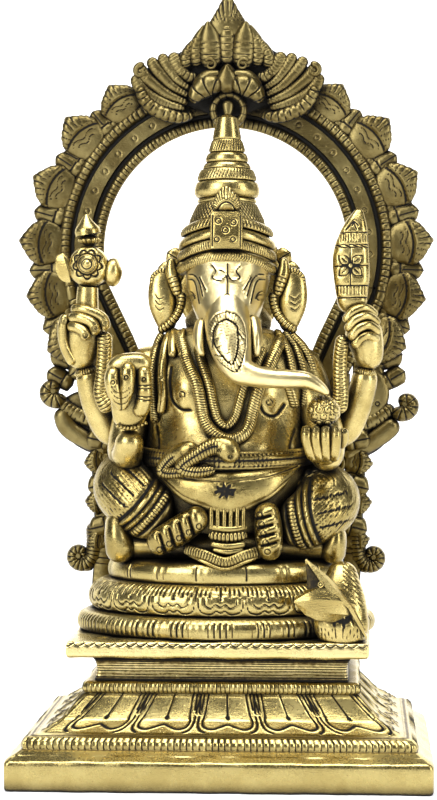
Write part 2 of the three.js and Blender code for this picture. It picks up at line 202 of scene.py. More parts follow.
# an ellipse carried along a path: half widths a across and half thickness b towards facing
def tube(path, a, b, around, facing=(0, -1, 0), endRound=True, power=1.0):
    path = np.asarray(path, float)
    tangent = unit(np.gradient(path, axis=0))
    side = unit(np.cross(tangent, np.asarray(facing, float)))
    thick = np.cross(side, tangent)
    a, b = np.broadcast_to(a, len(path)), np.broadcast_to(b, len(path))
    phi = np.linspace(0, 2 * np.pi, around if power == 1 else 4000, endpoint=False)
    c, s = np.cos(phi), np.sin(phi)
    c, s = np.sign(c) * np.abs(c) ** power, np.sign(s) * np.abs(s) ** power
    if power != 1:
        # columns spread evenly round the squarish outline
        rim = np.column_stack([np.append(c, c[0]), np.append(s, s[0])])
        run = walked(rim * [np.mean(a), np.mean(b)])
        even = np.linspace(0, run[-1], around, endpoint=False)
        c, s = np.interp(even, run, rim[:, 0]), np.interp(even, run, rim[:, 1])
        phi = np.arctan2(s, c)
    if endRound:
        run = walked(path)
        reach = np.minimum(np.minimum(run / np.maximum(a[0], 0.3), (run[-1] - run)
            / np.maximum(a[-1], 0.3)), 1)
        end = np.sqrt(np.maximum(1 - (1 - reach) ** 2, 0.0004))
        a, b = a * end, b * end
    out = path[:, None] + (a[:, None] * c)[..., None] * side[:, None] + (b[:, None] * s)[...,
        None] * thick[:, None]
    return out, phi, walked(path)


# a tube from [x, y, z, half width, half thickness] stations
def limb(stations, rows, around, facing=(0, -1, 0), crowd=0.85, power=1.0, endRound=True):
    q = curveThrough(stations, rows, crowd)
    return tube(q[:, :3], q[:, 3], q[:, 4], around, facing, endRound, power)


# the same as a finished part, with one groove tone all over
def smooth(stations, rows, around, tone=0.0, **shape):
    return limb(stations, rows, around, **shape)[0], tone


# a lathe-like stack of ovals from [half width, half depth, height] levels, clockwise seen from above
def ovalStack(w, d, z, around, centreX=0.0, centreY=0.0):
    phi = np.linspace(0, 2 * np.pi, around, endpoint=False)
    w, d, z = (np.asarray(v, float)[:, None] for v in (w, d, z))
    x = np.asarray(centreX, float).reshape(-1, 1) + w * np.cos(phi)
    y = np.asarray(centreY, float).reshape(-1, 1) - d * np.sin(phi)
    return np.stack([x, y, z + 0 * x], -1), phi


# a stack of rectangles with corners rounded by r, clockwise seen from above; also the side each column is on
def rectStack(w, d, z, r, perSide, centreX=0.0):
    t = [np.linspace(1, -1, n, endpoint=False) for n in perSide]
    one = [np.ones(n) for n in perSide]
    ux = np.concatenate([t[0], -one[1], -t[2], one[3]])
    uy = np.concatenate([-one[0], -t[1], one[2], t[3]])
    w, d, z = (np.asarray(v, float)[:, None] for v in (w, d, z))
    r = np.minimum(r, 0.9 * np.minimum(w, d))
    x, y = w * ux, d * uy
    inX, inY = np.clip(x, r - w, w - r), np.clip(y, r - d, d - r)
    far = np.maximum(np.hypot(x - inX, y - inY), 1e-9)
    return np.stack([centreX + inX + r * (x - inX) / far, inY + r * (y - inY) / far, z + 0 * x],
        -1), np.repeat(np.arange(4), perSide)


# a moulding's outline walked at even steps and softened over a few steps, as a casting's edges are; rows that
# plain picks, or that lie within that share of the greatest width, are thinned out
def outline(points, step=0.40, soften=2, plain=0.76):
    p = np.asarray(points, float)
    run = walked(p)
    s = np.linspace(0, run[-1], int(run[-1] / step) + 2)
    q = np.stack([np.interp(s, run, p[:, k]) for k in range(p.shape[1])], 1)
    for _ in range(soften):
        q[1:-1] = (q[:-2] + 2 * q[1:-1] + q[2:]) / 4
    count = np.arange(len(q))
    flat = plain(q) if callable(plain) else q[:, 0] < plain * q[:, 0].max()
    return q[~flat | (count % 16 == 0) | (count == len(q) - 1)]


# small domes or rings set on a surface, each turned to face outwards: places, directions and radii in mm
def studs(places, directions, radii, profile, around=9):
    parts = []
    rim = np.asarray(profile, float)
    phi = np.linspace(0, 2 * np.pi, around, endpoint=False)
    for place, way, radius in zip(np.asarray(places, float), unit(np.asarray(directions, float)), radii):
        side = unit(np.cross(way, (0.3, 0.2, 0.93)))
        other = np.cross(way, side)
        flat = rim[:, None, :1] * (np.cos(phi)[:, None] * side + np.sin(phi)[:, None] * other)[None]
        parts.append((place + radius * (flat + rim[:, None, 1:2] * way), rim[:, None, 2] + np.zeros(around)))
    return parts


# [radius, height, groove] outlines for studs: a plain bead, and a punched ring with a dot
bead = [(1, -0.5, 0.6), (1, 0.1, 0.3), (0.8, 0.55, 0), (0.45, 0.85, 0)]
ringDot = [(1, -0.6, 0.8), (1, 0.1, 0.5), (0.9, 0.3, 0), (0.72, 0.28, 0.2), (0.6, 0.06, 0.9),
    (0.45, 0.08, 0.8), (0.3, 0.3, 0)]


# a socket that adds Math nodes when it is used in sums
class Reading:
    def __init__(self, maker, socket):
        self.maker = maker
        self.socket = socket

    def join(self, operation, first, second):
        return self.maker.node("ShaderNodeMath", {"operation": operation}, {0: first, 1: second})

    def __add__(self, other):
        return self.join("ADD", self, other)

    def __radd__(self, other):
        return self.join("ADD", other, self)

    def __sub__(self, other):
        return self.join("SUBTRACT", self, other)

    def __rsub__(self, other):
        return self.join("SUBTRACT", other, self)

    def __mul__(self, other):
        return self.join("MULTIPLY", self, other)

    def __rmul__(self, other):
        return self.join("MULTIPLY", other, self)

    def __pow__(self, other):
        return self.join("POWER", self, other)

    def clamped(self):
        return self.join("MAXIMUM", self.join("MINIMUM", self, 1.0), 0.0)


# adds nodes to one material: settings first, then the values or links of the sockets
class Maker:
    def __init__(self, name):
        self.material = bpy.data.materials.new(name)
        self.material.use_nodes = True
        self.tree = self.material.node_tree
        self.shader = self.tree.nodes["Principled BSDF"]

    def node(self, kind, settings=None, sockets=None, out=0):
        made = self.tree.nodes.new(kind)
        for key, value in (settings or {}).items():
            if key == "stops":
                self.setStops(made, value)
            else:
                setattr(made, key, value)
        self.feed(made, sockets or {})
        return Reading(self, made.outputs[out])

    def feed(self, made, sockets):
        for key, value in sockets.items():
            if isinstance(value, Reading):
                self.tree.links.new(value.socket, made.inputs[key])
            else:
                made.inputs[key].default_value = value

    def setStops(self, made, stops):
        ramp = made.color_ramp
        while len(ramp.elements) < len(stops):
            ramp.elements.new(0.5)
        for element, (place, colour) in zip(ramp.elements, stops):
            element.position = place
            element.color = colour

    def ramp(self, value, low, high):
        sockets = {"Value": value, "From Min": low, "From Max": high}
        return self.node("ShaderNodeMapRange", {"clamp": True, "interpolation_type": "SMOOTHSTEP"}, sockets)

    def blend(self, share, first, second):
        return self.node("ShaderNodeMix", {"data_type": "RGBA"}, {0: share, 6: first, 7: second}, out=2)


# cast brass: polished high places, dark patina in the cuts, painted shade from ambient occlusion in the
# creases and between parts that stands in also for the patina there, fine casting pits and file marks
def castBrass(name, look):
    m = Maker(name)
    where = m.node("ShaderNodeTexCoord", out=3)
    groove = m.node("ShaderNodeAttribute", {"attribute_name": "groove"}, out=2)
    closed = m.node("ShaderNodeAmbientOcclusion", {"samples": 6}, {"Distance": look["creaseReach"]}, out=1)
    cloud = m.node("ShaderNodeTexNoise",
        sockets={"Vector": where, "Scale": 95.0, "Detail": 4.0, "Roughness": 0.6})
    grain = m.node("ShaderNodeTexNoise",
        sockets={"Vector": where, "Scale": 900.0, "Detail": 3.0, "Roughness": 0.7})
    pits = m.node("ShaderNodeTexVoronoi", sockets={"Vector": where, "Scale": 620.0})
    stretch = m.node("ShaderNodeMapping", sockets={"Vector": where, "Scale": (1.0, 1.0, 9.0)})
    filed = m.node("ShaderNodeTexNoise", sockets={"Vector": stretch, "Scale": 420.0, "Detail": 2.0})
    # painted shade: the colour darkens where ambient occlusion finds the surface closed in
    creaseShade = m.ramp(closed + (cloud - 0.5) * 0.16, look["creaseHigh"], look["creaseLow"])
    # dark patina in the cuts, and painted shade where a part carries it in the same attribute
    cut = m.ramp(groove + (grain - 0.5) * 0.3, 0.3, 0.72)
    dark = 1 - (1 - creaseShade * look["creaseDark"]) * (1 - cut * look["cutDark"])
    tone = m.blend(m.ramp(cloud, 0.35, 0.68), look["shade"], look["bright"])
    dusk = m.blend(m.ramp(dark, 0.0, 0.6), tone, look["amber"])
    colour = m.blend(m.ramp(dark, 0.35, 0.95), dusk, look["patinaAndShade"])
    pitted = m.ramp(pits, 0.16, 0.0) * look["pits"]
    rough = look["gloss"] + (grain - 0.5) * 0.16 + (cloud - 0.5) * 0.18 + dark * 0.34
    height = grain * 0.5 + filed * 0.4 - pitted * 0.9 + cloud * 1.3
    bump = m.node("ShaderNodeBump", sockets={"Height": height, "Strength": look["bump"], "Distance": 0.00022})
    m.feed(m.shader,
        {"Base Color": colour, "Roughness": rough.clamped(), "Normal": bump, "Metallic": 1 - dark * 0.35})
    return m.material


# figureLook is the plain brass; the looks after it are copies made lighter or darker part by part, for how
# the light falls there: painted light and shade. In each look, bright and shade are the two ends of a random
# tone
figureLook = {"bright": (0.64, 0.515, 0.205, 1), "shade": (0.43, 0.33, 0.115, 1),
    "amber": (0.17, 0.115, 0.030, 1), "patinaAndShade": (0.010, 0.009, 0.007, 1), "gloss": 0.27, "bump": 0.5,
    "pits": 0.5, "creaseReach": 0.0070, "creaseHigh": 0.82, "creaseLow": 0.36, "creaseDark": 0.95,
    "cutDark": 0.98}
# painted light: a lighter copy for the polished head, trunk and tusks
polishedLitLook = {**figureLook, "bright": (0.93, 0.79, 0.42, 1), "shade": (0.80, 0.66, 0.31, 1), "gloss": 0.32,
    "creaseHigh": 0.74, "creaseLow": 0.30}
# painted light: a lighter copy for the neck and slab
slabLook = {**figureLook, "bright": (0.84, 0.70, 0.33, 1), "shade": (0.74, 0.61, 0.26, 1), "bump": 0.36}
# painted shade: a darker copy for the legs, feet, lap cloth and belt
shadedClothLook = {**figureLook, "bright": (0.46, 0.365, 0.135, 1), "shade": (0.31, 0.235, 0.078, 1)}
# painted shade: a darker copy for the foot, lotus seat and cushion
plinthLook = {**figureLook, "bright": (0.56, 0.455, 0.18, 1), "shade": (0.45, 0.355, 0.13, 1), "bump": 0.38}
# painted shade: a much darker copy for the arch and crest, together with their darker patina
archLook = {**figureLook, "bright": (0.255, 0.204, 0.081, 1), "shade": (0.155, 0.117, 0.042, 1),
    "amber": (0.10, 0.068, 0.02, 1), "gloss": 0.33, "bump": 0.75, "creaseHigh": 0.88, "creaseLow": 0.42}
figureBrass = castBrass("figureBrass", figureLook)
polishedLitBrass = castBrass("polishedLitBrass", polishedLitLook)
shadedClothBrass = castBrass("shadedClothBrass", shadedClothLook)
plinthBrass = castBrass("plinthBrass", plinthLook)
slabBrass = castBrass("slabBrass", slabLook)
archBrass = castBrass("archBrass", archLook)


def figureCasting(name, parts, *nodes, finish=figureBrass, **more):
    return casting(name, parts, "idol", "figure_brass", finish, nodes, **more)


def archCasting(name, parts, *nodes):
    return casting(name, parts, "arch", "arch_brass", archBrass, nodes)


# zinc-plated steel for the fastening under the plinth, with turning marks
def platedSteel(name):
    m = Maker(name)
    where = m.node("ShaderNodeTexCoord", out=3)
    turning = m.node("ShaderNodeTexNoise", sockets={"Vector": where, "Scale": 500.0, "Detail": 3.0})
    tone = m.blend(turning, (0.42, 0.42, 0.41, 1), (0.66, 0.66, 0.64, 1))
    bump = m.node("ShaderNodeBump", sockets={"Height": turning, "Strength": 0.3, "Distance": 0.0002})
    m.feed(m.shader, {"Base Color": tone, "Roughness": 0.28 + turning * 0.2, "Normal": bump, "Metallic": 1.0})
    return m.material


steel = platedSteel("platedSteel")
for nodeName in ("centre_stud", "stud_washer", "stud_nut"):
    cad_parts[nodeName].data.materials.clear()
    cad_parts[nodeName].data.materials.append(steel)
print("brass and steel mixed")


plinth = {"footHalf": (66.6, 50.0), "teeth": 62, "petals": 5, "slope": (16.6, 28.0), "corner": 1.6,
    "slabShift": -1.0}


# one petal of the lower lotus, on a cell one unit wide and the slope's length high, in mm
def petalLines(width, high):
    w = width
    inner = bent([(-0.35 * w, high), (-0.375 * w, 7), (-0.40 * w, 4.6), (-0.36 * w, 2.6), (-0.24 * w, 1.9),
        (-0.1 * w, 2.9), (0, 3.7), (0.1 * w, 2.9), (0.24 * w, 1.9), (0.36 * w, 2.6), (0.40 * w, 4.6),
        (0.375 * w, 7), (0.35 * w, high)], 70)
    corner = mirroredLines([bent([(-0.47 * w, 6.4), (-0.462 * w, 3.4), (-0.42 * w, 1.6),
        (-0.34 * w, 0.7)], 16)])
    between = mirroredLines([np.array([(-0.5 * w, high), (-0.47 * w, 0.52 * high)]),
        np.array([(-0.43 * w, high), (-0.44 * w, 0.6 * high)])])
    stem = [np.array([(0, high), (0, 0.46 * high)]), ring((0, 0.42 * high), 0.45),
        ring((0, 0.42 * high), 0.15)]
    return [inner] + corner + between + stem


# teeth counted across one side, each cut one column wide so that it stays crisp
def toothed(share, count):
    away = np.abs((share * count + 0.5) % 1 - 0.5)
    return near(away, 0, 0.12)


# the foot: a moulding carried round a rectangle, pushed in at the teeth of two bands and along the
# lines of the lotus petals on the slope, with slow sine waves for wear
def buildPlinthFoot():
    w, d = plinth["footHalf"]
    section = outline([(0.4, 0.4, 31.8), (42.6, 30.0, 31.8), (43.4, 30.8, 31.5), (43.9, 31.3, 30.6),
        (43.9, 31.3, 29.2), (43.2, 30.6, 28.4), (42.6, 30.1, 28.0), (43.6, 31.0, 27.3), (50.4, 35.2, 20.6),
        (56.2, 39.6, 17.0), (57.8, 40.9, 16.6), (58.9, 42.0, 16.3), (60.4, 43.2, 15.9), (61.6, 44.3, 14.8),
        (61.8, 44.6, 13.2), (61.2, 44.1, 12.4), (62.2, 45.2, 12.1), (65.2, 48.4, 10.2), (66.3, 49.7, 9.4),
        (w, d, 8.6), (w, d, 1.0), (66.2, 49.6, 0.0), (62.8, 46.2, 0.0), (62.6, 46, 0.8), (62.6, 46, 7),
        (53, 36, 13), (39, 25, 27.8), (0.4, 0.4, 27.8)], 0.41, 2,
        lambda q: (np.arange(len(q)) > np.argmax(q[:, 2] < 0.3)
        + 3) | (q[:, 0] < 42.2) | ((q[:, 2] < 8) & (q[:, 2] > 1.4)))
    grid, side = rectStack(section[:, 0], section[:, 1], section[:, 2], plinth["corner"], (320, 130, 30, 130))
    x, y, z = grid[..., 0], grid[..., 1], grid[..., 2]
    front = (side % 2 == 0)[None, :]
    s = np.where(front, x, y)
    half = np.where(front, section[:, :1], section[:, 1:2])
    outside = (np.arange(len(section)) < np.argmax(section[:, 2] < 0.01))[:, None]
    shown = outside & (side != 2)[None, :]  # the back is left plain
    height = np.zeros(x.shape)
    groove = np.zeros(x.shape)
    for low, high, deep in ((12.6, 16.0, 0.32), (28.6, 31.4, 0.30)):
        inBand = shown & (z > low) & (z < high) & (section[:, :1] > 42)
        teeth = np.where(inBand, toothed(s / half * 0.5 + 0.5, np.where(front, plinth["teeth"], 44)), 0)
        edge = within(np.minimum(z - low, high - z) / 0.5)
        height += -deep * teeth + np.where(inBand, 0.14 * edge, 0)
        groove += teeth * 0.95
    low, high = plinth["slope"]
    onSlope = shown & (z > low) & (z < high)
    v = (z - low) / (high - low) * 14.5
    cell = np.where(front, s / half * 2.6 + 2.38, s / half * 2 + 2)
    onSlope = onSlope & (cell > 0) & (cell < np.where(front, plinth["petals"], 4))
    across = (cell % 1 - 0.5) * 19.4
    lines = petalLines(19.4, 14.5)
    chased = np.where(onSlope, nearLines(np.stack([across, v], -1), lines, 0.24), 0)
    height -= 0.42 * chased
    groove += chased * np.where(front, 1, 0.55)
    groove += np.where(onSlope, 0.22, 0)
    swell = np.where(onSlope, 0.45 * np.sin(np.pi * within(v / 14.5)) * np.cos(np.pi * (cell % 1 - 0.5)), 0)
    worn = 0.18 * np.sin(s * 0.21 + 1.3) * np.sin(s * 0.083) + 0.1 * np.sin(s * 0.47)
    height += swell + np.where(outside & (z < 11), worn, 0.4 * worn * outside)
    creases = near(z, 12.35, 0.35) + near(z, 16.35, 0.3) + near(z, 28.3, 0.3)
    groove += np.where(outside & (z > 11.9), 0.55 * creases, 0)
    height -= np.where(outside & (z > 11.9), 0.1 * creases, 0)
    grid = raised(grid, height * outside)
    casting("plinth_foot_chased", [(grid, groove)], "idol", "plinth_brass", plinthBrass, ("plinth_foot",))


# the neck and slab: two mouldings carried round rectangles, the slab's rim cut in scallops
def buildPlatform():
    neck = outline([(0.4, 0.4, 31.8), (40.6, 28.8, 31.8), (40.2, 28.5, 32.4), (39.9, 28.1, 34),
        (39.7, 27.9, 36), (40.2, 28.4, 38), (41.5, 29.8, 39.9), (41.5, 29.8, 40.6),
        (0.4, 0.4, 40.6)], 0.4, 2, 0.95)
    neckGrid, _ = rectStack(neck[:, 0], neck[:, 1], neck[:, 2], 1.2, (90, 40, 40, 40))
    brushed = 0.05 * np.sin(neckGrid[..., 2] * 9 + 0.4 * np.sin(neckGrid[..., 0] * 0.3))
    slab = outline([(0.4, 0.4, 40.0), (46.0, 35.2, 40.0), (47.4, 36.5, 40.3), (47.8, 37.0, 41.2),
        (47.8, 37.0, 44.2), (47.3, 36.5, 45.1), (46.2, 35.4, 45.3), (30, 20, 45.3),
        (0.4, 0.4, 45.3)], 0.3, 2, 0.95)
    grid, side = rectStack(slab[:, 0], slab[:, 1], slab[:, 2], 1.0, (260, 90, 30, 90), plinth["slabShift"])
    s = np.where((side % 2 == 0)[None, :], grid[..., 0], grid[..., 1])
    z = grid[..., 2]
    scallop = np.abs(np.sin(np.pi * s / 3.3)) * 1.0
    edgeLine = near(z - 44.9 + scallop, 0, 0.3) * (np.abs(slab[:, :1]) > 46.0) * (side != 2)[None, :]
    height = -0.3 * edgeLine + 0.14 * np.sin(s * 0.23 + 0.5) + 0.07 * np.sin(s * 0.6)
    # painted shade: the neck, set back under the slab, is darkened all over, and more as a painted shadow
    # under the slab's overhang and at its foot; the brushed lines add dark stripes
    hollow = 0.6 * near(neckGrid[..., 2], 39.2, 0.9) + 0.4 * near(neckGrid[..., 2], 32.2, 0.6)
    parts = [(raised(neckGrid, brushed), 0.46 + 4.5 * brushed + hollow), (raised(grid, height), edgeLine)]
    casting("plinth_platform_chased", parts, "idol", "plinth_brass", slabBrass, ("plinth_platform",))


buildPlinthFoot()
buildPlatform()
print("plinth cast and chased")


seat = {"depthRatio": 0.735, "toothPitch": 2.0, "petals": 16, "cushionRatio": 0.77, "ribGroups": 16}


# lengths walked round one oval, for marks that keep their spacing
def roundOval(w, d, phi):
    fine = np.linspace(0, 2 * np.pi, 2000)
    run = np.concatenate([[0], np.cumsum(np.hypot(w * np.diff(np.cos(fine)), d * np.diff(np.sin(fine))))])
    return np.interp(phi, fine, run), run[-1]


# one petal of the lotus seat, on a cell of a width in mm: cusps below, rays above and a stem
def seatPetals(width):
    w = width
    cusp = bent([(-0.47 * w, 6.4), (-0.455 * w, 3.2), (-0.37 * w, 1.0), (-0.2 * w, 0.5), (-0.09 * w, 1.9),
        (0, 1.0), (0.09 * w, 1.9), (0.2 * w, 0.5), (0.37 * w, 1.0), (0.455 * w, 3.2), (0.47 * w, 6.4)], 70)
    upper = bent([(-0.34 * w, 6.2), (-0.32 * w, 4.0), (-0.2 * w, 2.8), (-0.1 * w, 4.1), (0, 3.2),
        (0.1 * w, 4.1), (0.2 * w, 2.8), (0.32 * w, 4.0), (0.34 * w, 6.2)], 50)
    rays = [np.array([(k * w, 11.5), (k * w * 0.98 + 0.3, low)]) for k, low in ((-0.49, 3.4), (-0.41, 6.6),
        (-0.31, 7.0), (-0.21, 6.2), (-0.1, 7.0), (0.1, 7.0), (0.21, 6.2), (0.31, 7.0), (0.41, 6.6))]
    stem = [np.array([(0, 11.5), (0, 6.0)]), ring((0, 5.6), 0.3), ring((0, 5.6), 0.1)]
    return [cusp, upper] + rays + stem


# the seat: three oval mouldings, a toothed ring, a torus cut with petals and a cushion scored in threes
def buildSeat():
    ratio = seat["depthRatio"]
    low = outline([(0.4, 45.3), (47.2, 45.3), (48.3, 46.0), (48.8, 47.6), (48.7, 49.4), (47.8, 50.9),
        (46.0, 51.9), (44.4, 52.3), (0.4, 52.4)], 0.3, 3, 0.9)
    grid, phi = ovalStack(low[:, 0], low[:, 0] * ratio, low[:, 1], 480)
    s, total = roundOval(48.8, 48.8 * ratio, phi)
    teeth = cuts(s / total * round(total / seat["toothPitch"]), 1.0, 0.14)
    band = within((grid[..., 2] - 45.9) / 0.6) * within((51.7 - grid[..., 2]) / 0.6) * (low[:, :1] > 44)
    ringPart = (raised(grid, -0.34 * teeth * band), 0.95 * teeth * band)

    torus = outline([(0.4, 52.2), (42.6, 52.3), (43.8, 52.9), (44.9, 54.6), (45.2, 56.6), (44.7, 58.7),
        (43.2, 60.6), (41.2, 61.8), (39.0, 62.5), (0.4, 62.5)], 0.3, 3, 0.86)
    grid, phi = ovalStack(torus[:, 0], torus[:, 0] * ratio, torus[:, 1], 560)
    s, total = roundOval(45.0, 45.0 * ratio, phi)
    cell = total / seat["petals"]
    across = ((s / cell + 0.5) % 1 - 0.5) * cell
    climb = walked(torus)
    up = climb - np.interp(53.0, torus[:, 1], climb)
    flat = np.stack(np.broadcast_arrays(across[None, :], up[:, None]), -1)
    on = (torus[:, :1] > 38.6) & (up[:, None] > -0.3)
    chased = np.where(on, nearLines(flat, seatPetals(cell), 0.24), 0)
    torusPart = (raised(grid, -0.36 * chased), chased)
    casting("lotus_seat_chased", [ringPart, torusPart], "idol", "plinth_brass", plinthBrass, ("lotus_seat",))

    ratio = seat["cushionRatio"]
    rim = outline([(0.4, 62.3), (37.4, 62.3), (38.4, 63.2), (38.8, 64.8), (38.7, 66.4), (38.0, 67.9),
        (36.6, 68.9), (34, 69.3), (20, 69.6), (0.4, 69.6)], 0.3, 3, 0.88)
    grid, phi = ovalStack(rim[:, 0], rim[:, 0] * ratio, rim[:, 1], 300)
    s, total = roundOval(38.8, 38.8 * ratio, phi)
    cell = total / seat["ribGroups"]
    local = ((s / cell) % 1 - 0.5) * cell
    ribs = sum(near(local, k, 0.26) for k in (-1.3, 0.0, 1.3))
    band = within((grid[..., 2] - 63.0) / 0.8) * within((68.9 - grid[..., 2]) / 0.8) * (rim[:, :1] > 36)
    sag = 0.12 * np.sin(3 * phi + 0.6)
    casting("seat_cushion_chased", [(raised(grid, (-0.3 * ribs + sag) * band), ribs * band * 0.8)], "idol",
        "plinth_brass", plinthBrass, ("seat_cushion",))


buildSeat()
print("lotus seat chased")


arch = {"middle": -1.5, "centreZ": 170.0, "ringRadius": 48.5, "front": 24.0, "back": 30.0, "toothPitch": 1.75,
    "bigLeaves": ((36, 66), (53, 68.4), (70.5, 67.8), (88, 68), (105.5, 67.5), (121, 67.5)),
    "leafRadius": 56.2}


# the place on the arch at a radius and an angle from its top
def onArch(radius, degrees):
    a = np.radians(degrees)
    return arch["middle"] + radius * np.sin(a), arch["centreZ"] + radius * np.cos(a)


# a flat-backed strip along a path in the arch's plane: relief(t, run) is how far its face stands out, t from
# its inner edge at 0 to its outer edge at 1
def strip(path, halfWidth, relief, front, back, across=40):
    path = np.asarray(path, float)
    tangent = unit(np.gradient(path, axis=0))
    out = np.stack([-tangent[:, 1], tangent[:, 0]], 1)
    run = walked(path)
    t = np.linspace(0, 1, across)
    halfWidth = np.broadcast_to(halfWidth, len(path))
    flat = path[:, None] + (halfWidth[:, None] * (2 * t - 1))[..., None] * out[:, None]
    height, groove = relief(t[None, :], run[:, None])
    height = height + np.zeros((len(path), across))
    face = np.stack([flat[..., 0], front - height, flat[..., 1]], -1)
    rear = np.stack([flat[..., 0], np.full(flat.shape[:2], back), flat[..., 1]], -1)[:, ::-1][:, ::8]
    grid = np.concatenate([face, rear], 1)
    groove = np.concatenate([groove + np.zeros((len(path), across)), np.zeros((len(path), rear.shape[1]))], 1)
    return grid, groove


# two roped edges with a flat band of small ring punches between them, dark channels along both
def bandRelief(t, run):
    def rope(middle, half):
        k = (t - middle) / half
        dome = np.sqrt(within(1 - k**2))
        teeth = cuts(run + 0.15 * np.sin(run * 1.3), arch["toothPitch"], 0.25) * (np.abs(k) < 0.97)
        return np.where(np.abs(k) < 1, 0.35 + 1.15 * dome - 0.4 * teeth, 0), np.where(np.abs(k) < 1,
            0.9 * teeth, 0)

    innerHeight, innerCut = rope(0.115, 0.115)
    outerHeight, outerCut = rope(0.885, 0.115)
    flatBand = ((t > 0.33) & (t < 0.67)) * 0.85
    channel = ((t > 0.24) & (t < 0.32)) | ((t > 0.68) & (t < 0.76))
    spot = np.hypot((t - 0.5) * 15, (run % 7.4) - 3.7)
    punch = near(spot, 0.85, 0.24) * (flatBand > 0)
    edge = near(t, 0.345, 0.012) + near(t, 0.655, 0.012)
    height = innerHeight + outerHeight + flatBand - 0.25 * punch - 0.35 * channel
    return height, innerCut + outerCut + channel * 1.0 + 0.8 * punch + 0.2 * edge


# the ring: the band relief carried along a circle that runs out into two straight tails
def buildArchFrame():
    a = np.radians(np.linspace(-117, 117, 60))
    r = arch["ringRadius"]
    ringLine = np.stack([arch["middle"] + r * np.sin(a), arch["centreZ"] + r * np.cos(a)], 1)
    tail = np.array([(36.0, 133.5), (31.0, 121.5), (26.5, 110.0)])
    left = np.column_stack([arch["middle"] - tail[:, 0], tail[:, 1]])[::-1]
    right = np.column_stack([arch["middle"] + tail[:, 0], tail[:, 1]])
    line = np.vstack([left, ringLine[2:-2], right])
    line = np.column_stack([line, np.zeros(len(line))])
    teeth = round(walked(curveThrough(line, 400)[:, :2])[-1] / arch["toothPitch"])
    path = curveThrough(line, 5 * teeth + 1)[:, :2]
    run = walked(path)
    taper = within(np.minimum(run, run[-1] - run) / 30)
    ringPart = strip(path, 6.0 + 1.5 * taper, bandRelief, arch["front"] + 1.4, arch["back"], 40)
    parts = [ringPart]
    for side in (-1, 1):
        parts += buildArchLeg(side)
    archCasting("arch_frame_chased", parts, "arch_frame")


# one leg below the ring: a straight roped strip down to the tenon, a plain strip with two grooves beside it,
# and the tenon
def buildArchLeg(side):
    def legRelief(t, run):
        k = (t - 0.5) / 0.5
        rope = np.sqrt(within(1 - k**2)) * 0.9
        teeth = cuts(run, 2.1, 0.3) * (np.abs(k) < 0.8)
        return rope - 0.3 * teeth, 0.8 * teeth + (np.abs(k) > 0.9) * 0.8

    def plainRelief(t, run):
        k = np.abs(t - 0.5) * 2
        cutsAndShadeParts = near(t, 0.3, 0.04) + near(t, 0.72, 0.04)
        return 0.6 * np.sqrt(within(1 - k**4)) - 0.5 * cutsAndShadeParts, cutsAndShadeParts

    def placed(points):
        p = np.array([(arch["middle"] + side * x, z) for x, z in points])
        return curveThrough(np.column_stack([p, np.zeros(len(p))]), 150)[:, :2]

    front, back = arch["front"] + 0.9, arch["back"]
    out = 1.8 if side > 0 else 0.0
    down = [(46.5, 142), (46.6, 128), (43.0 + out, 112), (42.0 + out, 97), (41.4 + out, 84), (41.2 + out, 70),
        (42.35, 56), (42.35, 45.7)]
    inner = [(36, 128), (36.5, 116), (36.0, 102), (36.6, 90), (37.5, 78)]
    parts = [strip(placed(down), np.linspace(4.0, 2.85, 150), legRelief, front, back, 26),
        strip(placed(inner), np.linspace(6.0, 2.6, 150), plainRelief, front + 0.9, back - 0.4, 26),
        strip(placed([(42.35, 47), (42.35, 44.5), (42.35, 41.6)]), 2.1, lambda t, run: (0 * t, 0.0),
        arch["front"] + 0.3, back - 0.3, 26)]
    return parts


